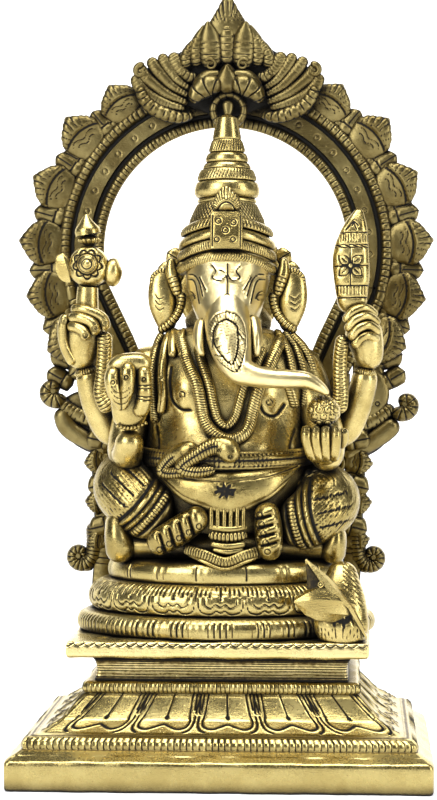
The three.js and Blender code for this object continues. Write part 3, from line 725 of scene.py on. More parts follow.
# a leaf in the arch's plane, growing from its base along a direction: the broad kind is lobed at the tip,
# hollow in the middle and veined towards its rim; the narrow kind is a plain faceted tongue
def leaf(base, degrees, length, width, y, thick=2.2, style="veined", lean=0.0):
    a = np.radians(degrees)
    along = np.array([np.sin(a), np.cos(a)])
    n, m = (22, 28) if style == "square" else (46, 46)
    u = np.linspace(0, 1, n)
    if style == "veined":
        half = width * np.interp(u, [0, 0.2, 0.42, 0.6, 0.68, 0.74, 0.82, 0.88, 0.94, 1],
            [0.62, 0.86, 1, 0.98, 0.86, 0.80, 0.62, 0.42, 0.26, 0.02])
    elif style == "pointed":
        half = width * np.interp(u, [0, 0.18, 0.4, 0.7, 0.92, 1], [0.72, 1.0, 0.86, 0.5, 0.26, 0.05])
    else:
        half = width * np.interp(u, [0, 0.5, 0.8, 0.92, 1], [0.85, 1.0, 1.0, 0.7, 0.1])
    spine = np.asarray(base, float) + np.outer(u * length, along)
    path = np.stack([spine[:, 0], y + lean * u, spine[:, 1]], 1)
    body = thick * np.sqrt(np.clip(1 - (2 * u - 1) ** 8, 0.01, 1))
    grid, phi, _ = tube(path, np.maximum(half, 0.05), body, m, endRound=False, power=0.7)
    side = np.cos(phi)[None, :] * half[:, None]
    facing = faceOn(phi, 1.5)
    uu = u[:, None]
    if style == "veined":
        reach = np.hypot(side * 0.9, uu * length) / length
        fan = np.arctan2(side, (uu + 0.12) * length)
        rim = within((reach - 0.6) / 0.08)
        veins = cuts(fan, 0.125, 0.022) * rim
        hollow = within((0.6 - reach) / 0.25) * within(uu / 0.1)
        step = near(reach, 0.6, 0.035)
        wave = reach + 0.05 * np.cos(fan * 9)
        folds = (near(wave, 0.48, 0.02) + near(wave, 0.36, 0.02)) * (np.abs(fan) < 0.5)
        height = facing * (0.9 * rim - 0.7 * hollow - 0.3 * veins - 0.2 * folds)
        groove = facing * within(0.8 * veins + 0.8 * step + 0.7 * folds + 0.15 * hollow)
    elif style == "pointed":
        fan = np.arctan2(side, (uu + 0.2) * length)
        veins = cuts(fan + 0.05, 0.12, 0.026) * within((uu - 0.3) / 0.1) * within((0.93 - uu) / 0.08)
        height, groove = facing * (0.5 - 0.35 * veins), facing * 0.85 * veins
    else:
        line = near(uu, 0.34, 0.05) + near(side, 0, 0.3) * (uu > 0.42)
        ridge = 0.8 * (1 - np.abs(np.cos(phi))[None, :])
        height, groove = facing * (ridge - 0.35 * line), facing * 0.85 * line
    edge = 0.9 * within((np.abs(np.cos(phi)) - 0.93) / 0.04)[None, :] * (uu < 0.8)
    return raised(grid, height), np.maximum(groove, edge)


# the leaf border down one side: broad shell leaves overlapping narrow tongues, from the crest downwards
def buildBorder(side):
    word = "left" if side > 0 else "right"
    parts = []
    middleY = (arch["front"] + arch["back"]) / 2
    for k, (degrees, tip) in enumerate(arch["bigLeaves"]):
        tilt = 5 * np.sin(k * 2.1 + side)
        x, z = onArch(arch["leafRadius"] - 1.8, side * degrees)
        parts.append(leaf((x, z), side * (degrees - 7) + tilt, tip - arch["leafRadius"] + 3.0, 7.0 + 0.25 * k,
            middleY - 0.6, 2.5, lean=-1.2))
        x, z = onArch(arch["leafRadius"] - 1.0, side * (degrees + 8.8))
        parts.append(leaf((x, z), side * (degrees + 4), 9.6 + 0.7 * k, 3.3, middleY + 0.6, 2.2, "square"))
        x, z = onArch(arch["leafRadius"] - 1.0, side * (degrees + 5.4))
        parts.append(leaf((x, z), side * (degrees + 8), 8.0 + 0.7 * k, 2.8, middleY + 1.0, 2.0, "square"))
    # a bow behind the leaves, its front darkened: painted shade in the gaps between them
    bow = curveThrough([(onArch(57.2, side * d)[0], 28.6, onArch(57.2, side * d)[1])
        for d in range(26, 125, 7)], 120)
    grid, phi, _ = tube(bow, 3.0, 1.3, 20)
    parts.append((grid, 0.75 * (np.sin(phi) > -0.5)[None, :]))
    archCasting(f"{word}_border_leaves", parts, f"{word}_leaf_border")


# a curl: a tapering rope wound in on itself from an outer radius, in the arch's plane
def curl(centre, radius, fromDegrees, turns, y, thick, side=1, ribs=1.7, tail=()):
    a = np.linspace(0, 1, 40)
    angle = np.radians(fromDegrees) + side * turns * 2 * np.pi * a
    r = radius * (1 - 0.86 * a)
    points = np.stack([centre[0] + r * np.cos(angle), centre[1] + r * np.sin(angle)], 1)
    line = np.vstack([np.array(tail).reshape(-1, 2), points])
    q = curveThrough(np.column_stack([line[:, 0], np.full(len(line), y), line[:, 1]]), 170, 0.5)
    width = np.interp(np.linspace(0, 1, 170), [0, 0.3, 1], [thick, thick * 0.95, thick * 0.45])
    grid, phi, run = tube(q, width, width * 1.25, 20)
    teeth = cuts(run, ribs, 0.26)[:, None] * within(np.sin(phi) + 0.3)[None, :]
    return raised(grid, -0.24 * teeth), 0.85 * teeth


# a plume: an oval tube along flat points in the arch's plane, its width read along it, cut across by bowed
# ribs from ribFrom onwards
def plume(points, widths, y, thick, ribs=1.5, depth=0.3, ribFrom=0.0, cut=0.22, tone=0.9, around=22, rows=54):
    p = np.asarray(points, float)
    w = np.interp(np.linspace(0, 1, len(p)), np.linspace(0, 1, len(widths)), widths)
    q = curveThrough(np.column_stack([p[:, 0], np.full(len(p), y), p[:, 1], w]), rows, 0.5)
    grid, phi, run = tube(q[:, :3], q[:, 3], thick, around, power=0.9)
    on = within((run / run[-1] - ribFrom) / 0.05)[:, None]
    bowed = run[:, None] - 0.9 * np.sin(phi)[None, :]
    teeth = cuts(bowed, ribs, cut) * within(np.sin(phi) + 0.25)[None, :] * on
    edge = 0.95 * within((np.abs(np.cos(phi)) - 0.86) / 0.07)[None, :]
    return raised(grid, -depth * teeth), np.maximum(tone * teeth, edge)


# a smooth oval plate in the arch's plane, with ring punches and a dark hollow in the middle
def plate(centre, halfWide, halfHigh, y):
    u = np.linspace(-1, 1, 70)
    path = np.column_stack([np.full(70, centre[0]), np.full(70, y), centre[1] + halfHigh * u])
    grid, phi, _ = tube(path, halfWide * np.sqrt(np.clip(1 - u**2, 0.003, 1)),
        1.8 * np.sqrt(np.clip(1 - u**6, 0.01, 1)), 80, endRound=False)
    c = np.asarray(centre)
    marks = [ring(c + off, 0.7) for off in ((1.6, 5.0), (-1.0, -5.0), (2.6, -3.6))]
    away = np.hypot((grid[..., 0] - c[0] + 1.4) / 0.8, grid[..., 2] - c[1] - 0.4)
    hole = within((2.2 - away) / 0.4)
    cut = nearLines(grid[..., [0, 2]], marks, 0.25) * faceOn(phi, 2)
    return raised(grid, -0.25 * cut - 0.9 * hole), within(cut + hole)


# one side's shoulder scroll, foot scroll and leg leaves, from tubes along flat curves
def buildScrolls(side):
    word = "left" if side > 0 else "right"
    y = (arch["front"] + arch["back"]) / 2

    def at(x, z):
        return arch["middle"] + side * x, z

    start = 200 if side > 0 else -20
    low, tip = (0.0, (60.4, 118.2)) if side > 0 else (1.6, (58.4, 122.4))
    shoulder = [
        # the web behind, the smooth stem at its lower edge, the roped band above and the curl at its tip
        plume([at(39, 101 + low), at(45, 108 + low), at(51, 113.6 + low), at(56, 117 + low)],
              [5.0, 8.4, 8.0, 4.6], y + 0.8, 1.8, 60, 0.0),
        plume(
              [at(39.6, 100 + low), at(46.6, 103.8 + low), at(53.6, 108.6 + low),
                at(tip[0] - 2.6, tip[1] - 5.6)],
              [2.0, 3.0, 3.4, 3.0], y - 1.2, 2.6, 60, 0.0),
        plume([at(38.6, 110.4 + low), at(44.6, 110.8 + low), at(50.6, 113.0 + low), at(56.6, 117.4 + low)],
              [1.8, 2.6, 2.6, 2.0], y - 1.4, 2.4, 1.5, 0.3),
        curl(at(*tip), 3.7, start, 1.0, y - 1.8, 3.2, side, 1.7),
        leaf(at(52.5, 124.5), side * 60, 9, 3.4, y + 0.5, 2.4, "square"),
        leaf(at(49, 131.5), side * 72, 11, 3.6, y + 0.9, 2.2, "square"),
    ]
    shoulder += studs([(at(*tip)[0], y - 2.2, tip[1])], [(0, -1, 0)], [2.0], bead, 20)
    if side > 0:
        shoulder.append(plate(at(48.6, 121.8), 6.6, 8.6, y - 1.6))
        shoulder.append(curl(at(37.4, 98.6), 4.6, 100, 1.3, y - 2.4, 1.3, 1, 60,
            [at(42.0, 106.0), at(38.6, 104.2)]))
    archCasting(f"{word}_shoulder_curls", shoulder, f"{word}_shoulder_scroll")
    foot = [curl(at(49.4, 66.6), 3.8, start, 1.1, y - 1, 3.1, side, 1.3,
        [at(44.6, 78), at(44.4, 72), at(45.0, 67)]), leaf(at(46.0, 62), side * 35, 5, 2.2, y, 2.2, "square")]
    foot += studs([(at(50.0, 66.4)[0], y - 1.8, 66.4)], [(0, -1, 0)], [1.6], bead, 20)
    archCasting(f"{word}_foot_curls", foot, f"{word}_foot_scroll")
    out = 1.8 if side > 0 else 0.0
    small = [leaf(at(x + out, z), side * tilt, size, wide, y - 1.6, 2.8, style) for x, z, tilt, size, wide,
        style in ((38.6, 105, 78, 8.4, 3.6, "square"), (38.2, 99.0, 96, 9.0, 4.2, "veined"),
        (38.0, 91.6, 104, 8.6, 3.8, "square"), (38.0, 84.8, 88, 8.8, 4.2, "veined"),
        (38.0, 77.6, 104, 8.0, 3.6, "square"), (38.6, 71.4, 80, 7.6, 3.4, "veined"))]
    archCasting(f"{word}_leg_leaves", small)


buildArchFrame()
for side in (-1, 1):
    buildBorder(side)
    buildScrolls(side)
print("arch chased")


crest = {"middle": -0.6, "y": 21.0}


# one wing of the crest: ribbed plumes nested like feathers, leaves beside the middle and two curls
def crestSide(side):
    def flip(points):
        return [(crest["middle"] + side * x, z) for x, z in points]

    y = crest["y"]
    feather = dict(thick=1.5, ribs=1.15, depth=0.2, tone=0.62, cut=0.2)
    return [
        # the strongly ribbed band at the wing's lower edge, then the broad hatched feathers above it
        plume(
              flip([(29.4, 224.4), (28.0, 220.6), (25.2, 217.4), (21.0, 215.2), (16.0, 214.0),
                  (11.4, 214.8)]),
              [1.6, 2.2, 2.4, 2.4, 2.0, 1.2], y - 1.6, 2.1, 2.2, 0.5, cut=0.3),
        plume(flip([(31.2, 228.4), (29.4, 224.4), (26.6, 221.6), (21.6, 219.0), (14.2, 216.8)]),
              [1.9, 2.3, 2.2, 1.9, 1.2], y - 1.0, **feather),
        plume(flip([(29.6, 231.6), (27.4, 227.8), (24.2, 224.8), (19.6, 221.6), (13.2, 218.8)]),
              [1.8, 2.1, 2.0, 1.7, 1.1], y - 1.2, **feather),
        plume(flip([(26.0, 234.0), (24.4, 231.2), (21.8, 228.0), (18.2, 224.4), (12.8, 221.2)]),
              [1.8, 2.1, 2.0, 1.6, 1.0], y - 1.4, **feather),
        plume(flip([(22.4, 235.2), (20.8, 232.4), (19.0, 229.6), (16.2, 226.2), (12.2, 223.4)]),
              [1.7, 2.0, 1.8, 1.5, 1.0], y - 1.6, **feather),
        plume(flip([(18.6, 235.6), (17.4, 233.0), (15.6, 230.0), (12.6, 227.2)]), [2.0, 2.4, 2.2, 1.5],
              y - 1.8, **feather),
        # the plump leaf beside the middle, ribbed over its lower half, and two leaves leaning outside it
        plume(flip([(6.4, 245.8), (6.0, 242.2), (5.6, 238.0), (5.4, 233.8), (5.4, 229.8)]),
              [0.6, 3.0, 3.8, 3.7, 3.0], y - 3.0, 2.4, 1.9, 0.34, ribFrom=0.38),
        plume(flip([(7.6, 244.6), (9.2, 240.8), (10.4, 237.0), (10.2, 233.6), (9.8, 230.8)]),
              [0.5, 1.8, 2.5, 2.4, 1.8], y - 2.2, 2.2, 1.7, 0.3, ribFrom=0.3, tone=0.75),
        plume(flip([(10.4, 240.4), (12.6, 237.0), (13.8, 233.6), (13.2, 230.4)]), [0.5, 1.6, 2.2, 1.8],
              y - 2.0, 2.1, 1.7, 0.3, tone=0.75),
        plume(flip([(15.4, 229.4), (12.6, 227.4), (9.6, 227.2)]), [1.3, 2.0, 1.6], y - 1.6, 2.2, 1.7, 0.3,
              tone=0.75),
        curl((crest["middle"] + side * 5.4, 231.2), 2.1, 90 - side * 60, 1.4, y - 5.0, 0.62, side, 60),
        curl((crest["middle"] + side * 28.9, 229.4), 2.2, 90 + side * 30, 1.2, y - 2.0, 1.2, -side, 60),
    ]


# the crest: both wings, the middle leaves, the brow, a toothed hoop and the plate behind
def buildCrest():
    y = crest["y"]
    parts = crestSide(-1) + crestSide(1)
    x = crest["middle"]
    parts.append(leaf((x + 0.2, 240.6), 0, 13.2, 6.8, y - 1.6, 2.2, "pointed"))
    parts.append(plume([(x, 244.8), (x, 241), (x, 236.6), (x, 231)], [1.6, 3.0, 3.0, 2.2], y - 2.4, 2.2, 2.3,
        0.3, tone=0.85))
    parts.append(plume([(x + 0.2, 231.6), (x + 0.2, 229.4), (x + 0.2, 226.8)], [0.7, 2.6, 2.9], y - 3.6,
        2.0, 9.0, 0.0))
    # the brow over the crown's tip: a peaked middle leaf, a shoulder and a lobe of three petals each side
    parts.append(plume([(x, 231.2), (x, 228.0), (x, 225.0), (x, 221.8)], [0.6, 3.2, 4.2, 3.0], y - 4.0,
        3.0, 60, 0.0))
    for side in (-1, 1):
        shoulder = [(x + side * 2.0, 228.6), (x + side * 6.8, 227.0), (x + side * 10.8, 222.6)]
        parts.append(plume(shoulder, [1.0, 2.6, 2.2], y - 3.0, 3.2, 60, 0.0))
        lobe = [(x + side * 1.6, 223.2), (x + side * 5.2, 224.4), (x + side * 9.2, 222.4),
            (x + side * 11.6, 218.6)]
        parts.append(plume(lobe, [2.2, 3.6, 3.3, 1.6], y - 4.6, 3.6, 3.3, 0.5, cut=0.3, around=32, rows=80))
    hoop = arc((0.4, 216.4), 5.2, -80, 260, 60)
    hoopPath = np.column_stack([x + hoop[:, 0], np.full(len(hoop), y - 2.0), hoop[:, 1]])
    grid, phi, run = tube(hoopPath, 1.25, 1.5, 16)
    teeth = cuts(run, 1.3, 0.22)[:, None] * np.ones(16)[None, :]
    parts.append((raised(grid, -0.2 * teeth), 0.8 * teeth))
    parts.append(plume([(x + 0.3, 219.8), (x + 0.3, 217.4), (x + 0.3, 214.2)], [1.7, 1.9, 1.1], y - 2.6,
        1.5, 9.0, 0.0))
    # the plate behind, that the plumes are chased from; its front is darkened almost all over: painted shade
    # between the plumes
    plateLine = [(248.0, 3.2), (243, 9.0), (237, 14.6), (233, 22), (229.5, 28.4), (222, 27.0), (214.5, 15)]
    q = curveThrough(np.array([(x, y + 1.4, z, w) for z, w in plateLine]), 70, 0.4)
    grid, phi, _ = tube(q[:, :3], q[:, 3], 1.7, 60, power=0.8)
    parts.append((grid, 0.95 * (np.sin(phi) > -0.5)[None, :]))
    archCasting("crest_plumes", parts, "arch_crest")


buildCrest()
print("crest chased")


torso = {"levels": [(68, 17, 13, 11), (72, 22, 16.5, 13), (78, 26, 19, 15), (86, 28, 20.6, 16.5),
    (94, 28.6, 22, 17.3), (100, 28.2, 22.6, 17.5), (105, 27.2, 21.5, 17), (110, 26.2, 19, 16),
    (116, 26.4, 17.4, 15.5), (122, 26.8, 17.2, 15.5), (128, 26.6, 16.4, 15), (133, 25.6, 15, 14),
    (137, 23.2, 13.2, 12.4), (140.4, 20.0, 11, 11), (142.8, 16.0, 9, 9), (144.6, 10, 6, 6)],
    "breasts": ((-13.2, 123.5), (14.6, 121.0))}
torsoLevels = curveThrough([(w, f, b, z) for z, w, f, b in torso["levels"]], 400)


# the torso's half width, front depth and back depth at a height
def torsoAt(z):
    order = np.argsort(torsoLevels[:, 3])
    return [np.interp(z, torsoLevels[order, 3], torsoLevels[order, k]) for k in range(3)]


# how far forward the chest and belly reach at a place seen from the front
def chestAt(x, z):
    w, f, _ = torsoAt(z)
    lean = np.zeros(np.shape(x))
    for bx, bz in torso["breasts"]:
        lean = lean + 2.0 * np.exp(-(((x - bx) / 6.0) ** 2) - ((z - bz) / 7.0) ** 2)
    lean = lean + 1.6 * np.exp(-(((np.abs(x - 0.8) - 10.5) / 8.5) ** 2) - ((z - 107) / 7.5) ** 2)
    return -1 - f * np.sqrt(np.clip(1 - (x / w) ** 2, 0.02, 1)) - lean


# a flattened rope lying on the chest through [x, z] places, lifted off it, with slanting chisel cuts
def drape(points, halfWidth, thick, lift=0.4, pitch=0.85, depth=0.22, slant=0.5, rows=None, cut=0.17):
    p = np.asarray(points, float)
    long = walked(p)[-1]
    rows = rows or int(long / 0.26) + 10
    q = curveThrough(np.column_stack([p[:, 0], np.zeros(len(p)), p[:, 1]]), rows)
    q[:, 1] = chestAt(q[:, 0], q[:, 2]) - lift
    grid, phi, run = tube(q, halfWidth, thick, 22)
    across = np.cos(phi)[None, :] * slant
    on = within(np.sin(phi) + 0.35)[None, :] ** 0.5 * (np.abs(np.cos(phi)) < 0.93)[None, :]
    teeth = cuts(run[:, None] + across, pitch, cut) * on
    return raised(grid, -depth * teeth), 0.9 * teeth


# the torso: ovals with their own front and back depth at each height, then breasts and belly as bell
# curves, and creases as lines pushed in
def buildTorso():
    z = np.linspace(68, 144.6, 145)
    w, f, b = torsoAt(z)
    phi = np.linspace(0, 2 * np.pi, 270, endpoint=False)
    deep = np.where(np.sin(phi)[None, :] > 0, f[:, None], b[:, None])
    x = w[:, None] * np.cos(phi)
    grid = np.stack([x, -1 - deep * np.sin(phi)[None, :], z[:, None] + 0 * x], -1)
    front = within(np.sin(phi)[None, :] * 1.4)
    grid[..., 1] = np.where(np.sin(phi)[None, :] > 0.15, chestAt(x, grid[..., 2]), grid[..., 1])
    flat = grid[..., [0, 2]]
    under = [bent([(-17.4, 124), (-16.6, 120.3), (-13.6, 117.6), (-10.4, 117.4)]),
        bent([(11.8, 119), (13.4, 116.4), (16.8, 115.6), (19.8, 119.2)]),
        bent([(-17.2, 131), (-17.6, 127), (-17.4, 124)])]
    wide = nearLines(flat, under, 0.55) * front
    nipples = nearLines(flat, [ring((-13.2, 122.4), 0.95), ring((14.9, 120.0), 0.95)], 0.3) * front
    folds = nearLines(flat,
        [bent([(-22, 112), (-21, 106), (-22.5, 100)]), bent([(23, 111), (21.5, 106), (22.5, 101)])], 0.5)
    rough = within((np.abs(x) - 17) / 4) * (grid[..., 2] > 96) * (grid[..., 2] < 119)
    grainy = 0.16 * np.sin(x * 5.1 + 1.3 * np.sin(grid[..., 2] * 3.1)) * np.sin(grid[..., 2] * 5.7
        + np.sin(x * 2.7))
    height = -0.7 * wide - 0.3 * nipples - 0.5 * folds * front + rough * grainy
    groove = 0.95 * wide + 0.9 * nipples + 0.6 * folds * front + rough * 0.22
    figureCasting("torso_chased", [(raised(grid, height), groove)], "torso")


# shoulder strands, two garlands in a long loop, and the short tabs between them
def buildDrapes():
    garlands = [drape([(-15.2, 142.4), (-13.4, 138), (-11.2, 132), (-8.4, 126), (-7.0, 120), (-5.8, 114.4),
        (-2.8, 110.4), (1.6, 108.2), (5.4, 109.0), (8.2, 112.2), (10.0, 119), (11.6, 125), (14.2, 130.6),
        (17.2, 137.4), (18.4, 141)], 2.0, 1.7, 1.3),
        drape([(-8.6, 138), (-7.0, 132.8), (-4.4, 125.6), (-3.0, 119.4), (-1.6, 114.8), (1.2, 112.4),
        (3.8, 115.0), (5.4, 120.4), (7.2, 126.4), (10.2, 131), (12.8, 137.4)], 1.5, 1.5, 1.2),
        drape([(1.4, 110), (3.0, 107), (4.4, 104.4)], 1.9, 1.4, 1.0)]
    figureCasting("garland_ropes", garlands, "garland")
    strands = [drape([(-20.4, 142.2), (-22.4, 137.4), (-23.4, 129), (-23.0, 120.6), (-22.2, 113)], 1.5, 1.7,
        1.0, 0.8), drape([(-18.0, 142.8), (-19.2, 137.4), (-19.9, 129), (-19.6, 122.4), (-20.4, 116)], 1.35,
        1.6, 1.4, 40), drape([(-16.4, 143.0), (-16.8, 139.0), (-16.4, 134.4)], 1.4, 1.4, 1.8, 40),
        drape([(-13.4, 143.0), (-13.8, 138.6), (-13.8, 134.4)], 0.9, 1.2, 1.6, 40),
        drape([(21.0, 142.0), (25.6, 137), (28.2, 131), (29.0, 125)], 1.5, 1.7, 1.0, 0.9),
        drape([(18.8, 142.6), (22.8, 137.2), (25.0, 131), (25.8, 124), (25.4, 118)], 1.5, 1.6, 1.3, 0.9),
        drape([(16.6, 142.8), (20.0, 137.4), (21.8, 131), (22.2, 125)], 1.35, 1.5, 1.5, 0.9),
        drape([(13.6, 132), (17.4, 129), (20.8, 125), (23.0, 118)], 1.6, 1.3, 0.9, 1.0)]
    figureCasting("shoulder_strands", strands)


# a snake tied round the waist: two scaled bodies crossing, each ending in a head with a ring eye
def buildBelt():
    phi = np.linspace(0, 2 * np.pi, 260)
    w, f, b = torsoAt(101.0)
    deep = np.where(np.sin(phi) > 0, f + 0.9, b + 0.6)
    sag = 1.2 * (1 - within(np.sin(phi)))
    loop = np.column_stack([(w + 0.5) * np.cos(phi), -1.6 - deep * np.sin(phi), 101.6 + sag])
    band, angle, run = tube(loop, 1.4, 3.0, 26, (0, 0, 1), endRound=False)
    rows = np.sin(angle)[None, :] * 3.0
    line = near(np.abs(rows), 0.05, 0.25) + near(np.abs(rows), 2.2, 0.25)
    knots = cuts(run[:, None] + 0 * rows, 1.25, 0.25) * (np.abs(rows) < 2.2)
    parts = [(raised(band, -0.25 * within(line + knots)), 0.9 * within(line + knots * 0.8))]

    def snake(points, radii, lift, rows=130):
        p = np.asarray(points, float)
        q = curveThrough(np.column_stack([p[:, 0], np.zeros(len(p)), p[:, 1], radii]), rows)
        q[:, 1] = chestAt(q[:, 0], q[:, 2]) - lift
        grid, a, run = tube(q[:, :3], q[:, 3], q[:, 3] * 0.8, 24)
        tail = within((run[-1] - run - 7) / 1.5)[:, None]
        scales = cuts(run[:, None] + 0.6 * np.cos(a)[None, :], 0.95,
            0.17) * (np.sin(a)[None, :] > -0.2) * tail
        split = near(np.cos(a)[None, :], 0, 0.16) * (np.sin(a)[None, :] > 0) * tail
        return raised(grid, -0.2 * within(scales + split)), 0.85 * within(scales + split)

    parts.append(snake([(-4, 100), (-10, 98.4), (-17, 97.4), (-19.2, 98.6), (-16.2, 102.2), (-11.6, 104.6),
        (-7.4, 105.8)], [1.4, 2.0, 2.2, 2.3, 2.7, 3.1, 2.2], 2.2))
    parts.append(snake([(-2.0, 99.0), (-8.0, 98.2), (-12.8, 99.6), (-8.0, 103.4), (-2.6, 106.2), (1.6, 105.4),
        (4.4, 101.6)], [1.2, 2.0, 2.2, 2.5, 2.9, 3.7, 2.7], 4.2))
    spots = [(-9.6, 105.2), (-12.4, 104.2), (0.6, 106.4), (3.0, 103.2), (-0.8, 105.2)]
    lifts = [4.5, 4.5, 6.9, 7.0, 6.6]
    places = [(x, chestAt(x, z) - lift, z) for (x, z), lift in zip(spots, lifts)]
    parts += studs(places, [(0, -1, 0.1)] * 5, [0.9, 0.8, 0.95, 1.0, 0.7], ringDot, 14)
    beadX = np.arange(4.6, 24, 1.35)
    for row, z in ((0, 100.6), (1, 103.2)):
        shift = row * 0.6
        places = [(x + shift, chestAt(x + shift, z) - 2.1, z + 0.035 * (x - 4)) for x in beadX]
        parts += studs(places, [(0.4 * x / 20, -1, 0) for x in beadX], [0.56] * len(beadX), bead)
    figureCasting("snake_belt", parts, "waist_belt", "snake_head", finish=shadedClothBrass)


# the cloth over the lap: a pointed swag below the belt, pleats hanging from it, and a fringe on the cushion
def buildApron():
    parts = []
    path = curveThrough([(-21.5, -13, 97.6), (-15, -21.0, 95.6), (-8, -24.2, 93.6), (1.5, -25.6, 92.6),
        (10, -24.2, 93.8), (17.5, -20.6, 96.2), (24, -13, 99.4)], 190)
    share = walked(path) / walked(path)[-1]
    tall = 0.5 + 6.1 * np.sin(np.pi * share) ** 1.1
    path[:, 2] -= 1.3 * np.sin(np.pi * share) ** 2
    grid, phi, run = tube(path, tall, 2.2, 72, (0, -1, 0))
    x, z = grid[..., 0], grid[..., 2]
    facing = faceOn(phi)
    petals = [np.stack([1.2 + r * np.cos(t) * 2.6, 92.2 + r * np.sin(t) * 2.0], 1) for t,
        r in ((k * np.pi / 4 + 0.2, np.linspace(0.35, 1.15, 8)) for k in range(8))]
    hem = [bent([(-19, 95.4), (-11, 89.8), (2, 86.2), (13.6, 89.8), (22, 96.4)], 40),
        bent([(-20, 97.4), (-12, 96.0), (1.2, 95.3), (14, 96.6), (24, 99.6)], 40)]
    flower = nearLines(grid[..., [0, 2]], petals, 0.42) * facing
    edge = nearLines(grid[..., [0, 2]], hem, 0.35) * facing
    darkPatch = np.exp(-(((x - 1.2) / 6.5) ** 2) - ((z - 92.2) / 2.4) ** 2) * (0.5 + 0.5 * np.sin(x * 2.1)
        * np.sin(z * 2.3 + x))
    parts.append((raised(grid, -0.3 * flower - 0.3 * edge - 0.2 * darkPatch),
        within(0.8 * edge + flower + 0.75 * darkPatch * facing)))
    # pleats
    for k, px in enumerate((-3.4, -1.3, 0.8, 2.9, 5.0, 7.0)):
        parts.append(smooth([(px, -25.6, 87.2, 0.85, 1.3), (px * 0.98 + 0.05, -26.4, 83, 0.9, 1.4),
            (px, -26.8, 79.6, 0.95, 1.2)], 46, 16, 0.15))
    for z, half, lift, toothed in ((80.4, 6.4, 27.3, False), (77.9, 6.2, 27.6, True),
            (75.0, 5.6, 27.4, False), (73.2, 5.0, 27.2, False)):
        q = curveThrough([(2 - half, -lift + 0.8, z + 0.3), (2, -lift - 0.2, z - 0.35),
            (2 + half, -lift + 0.8, z + 0.3)], 80)
        grid, phi, run = tube(q, 1.35 if toothed else 0.95, 0.9, 20)
        teeth = cuts(run, 1.25, 0.22)[:, None] * (np.sin(phi) > -0.1)[None, :] * toothed
        parts.append((raised(grid, -0.25 * teeth), 0.9 * teeth))
    # fringe
    for lift, z, wide, pitch, r in ((27.4, 71.0, 13.4, 0.95, 1.7), (27.9, 68.9, 11.4, 50.0, 0.6)):
        q = curveThrough([(1.1 - wide, -lift + 3.4, z + 2.6), (-5.6, -lift, z + 0.9),
            (1.1, -lift - 0.9, z - 1.4), (7.8, -lift, z + 0.9), (1.1 + wide, -lift + 3.4, z + 2.6)], 150)
        grid, phi, run = tube(q, r, 1.0, 22)
        teeth = cuts(run, pitch, 0.18)[:, None] * (np.sin(phi) > -0.1)[None, :]
        teeth = teeth * (np.abs(np.cos(phi)) < 0.8)[None, :]
        parts.append((raised(grid, -0.22 * teeth), 0.85 * teeth))
    # the cloth spread under the legs, a little darker all over: painted shade
    parts.append(smooth([(-36.4, -7, 73, 4.0, 7), (-26, -8, 73.6, 5.4, 11), (0, -9.5, 74, 6.0, 14),
        (26, -8, 73.6, 5.4, 11), (36.4, -7, 73, 4.0, 7)], 130, 90, 0.25))
    figureCasting("lap_cloth", parts, "dhoti_apron", finish=shadedClothBrass)


buildTorso()
buildDrapes()
buildBelt()
buildApron()
print("torso and cloth chased")


leg = {
    "right": [(-9, 4, 84, 10, 9), (-20, 2, 90.5, 11.6, 10.5), (-28, -2.5, 93.8, 11.4, 11),
        (-31.6, -8, 92.4, 11.2, 11), (-28.6, -13.6, 88.6, 10.6, 9.6), (-24.4, -17.4, 85.4, 9.6, 7.6),
        (-20.6, -20, 82.8, 8.8, 6.2), (-17.4, -21.4, 80.8, 7.6, 5)],
    "left": [(9, 4, 84, 9, 9), (20, 2, 88.5, 11, 10.5), (28, -2.5, 89.8, 11, 11),
        (33.0, -8, 88.4, 10.8, 11), (31.0, -13.6, 85.2, 10.4, 9.6), (26.4, -17.6, 82.2, 9.2, 7.6),
        (21.8, -20.2, 80.2, 8.4, 6.2), (18.6, -21.6, 79.2, 7.4, 5)],
    "dotPitch": 1.3, "towardsFoot": (-40, -169),
}


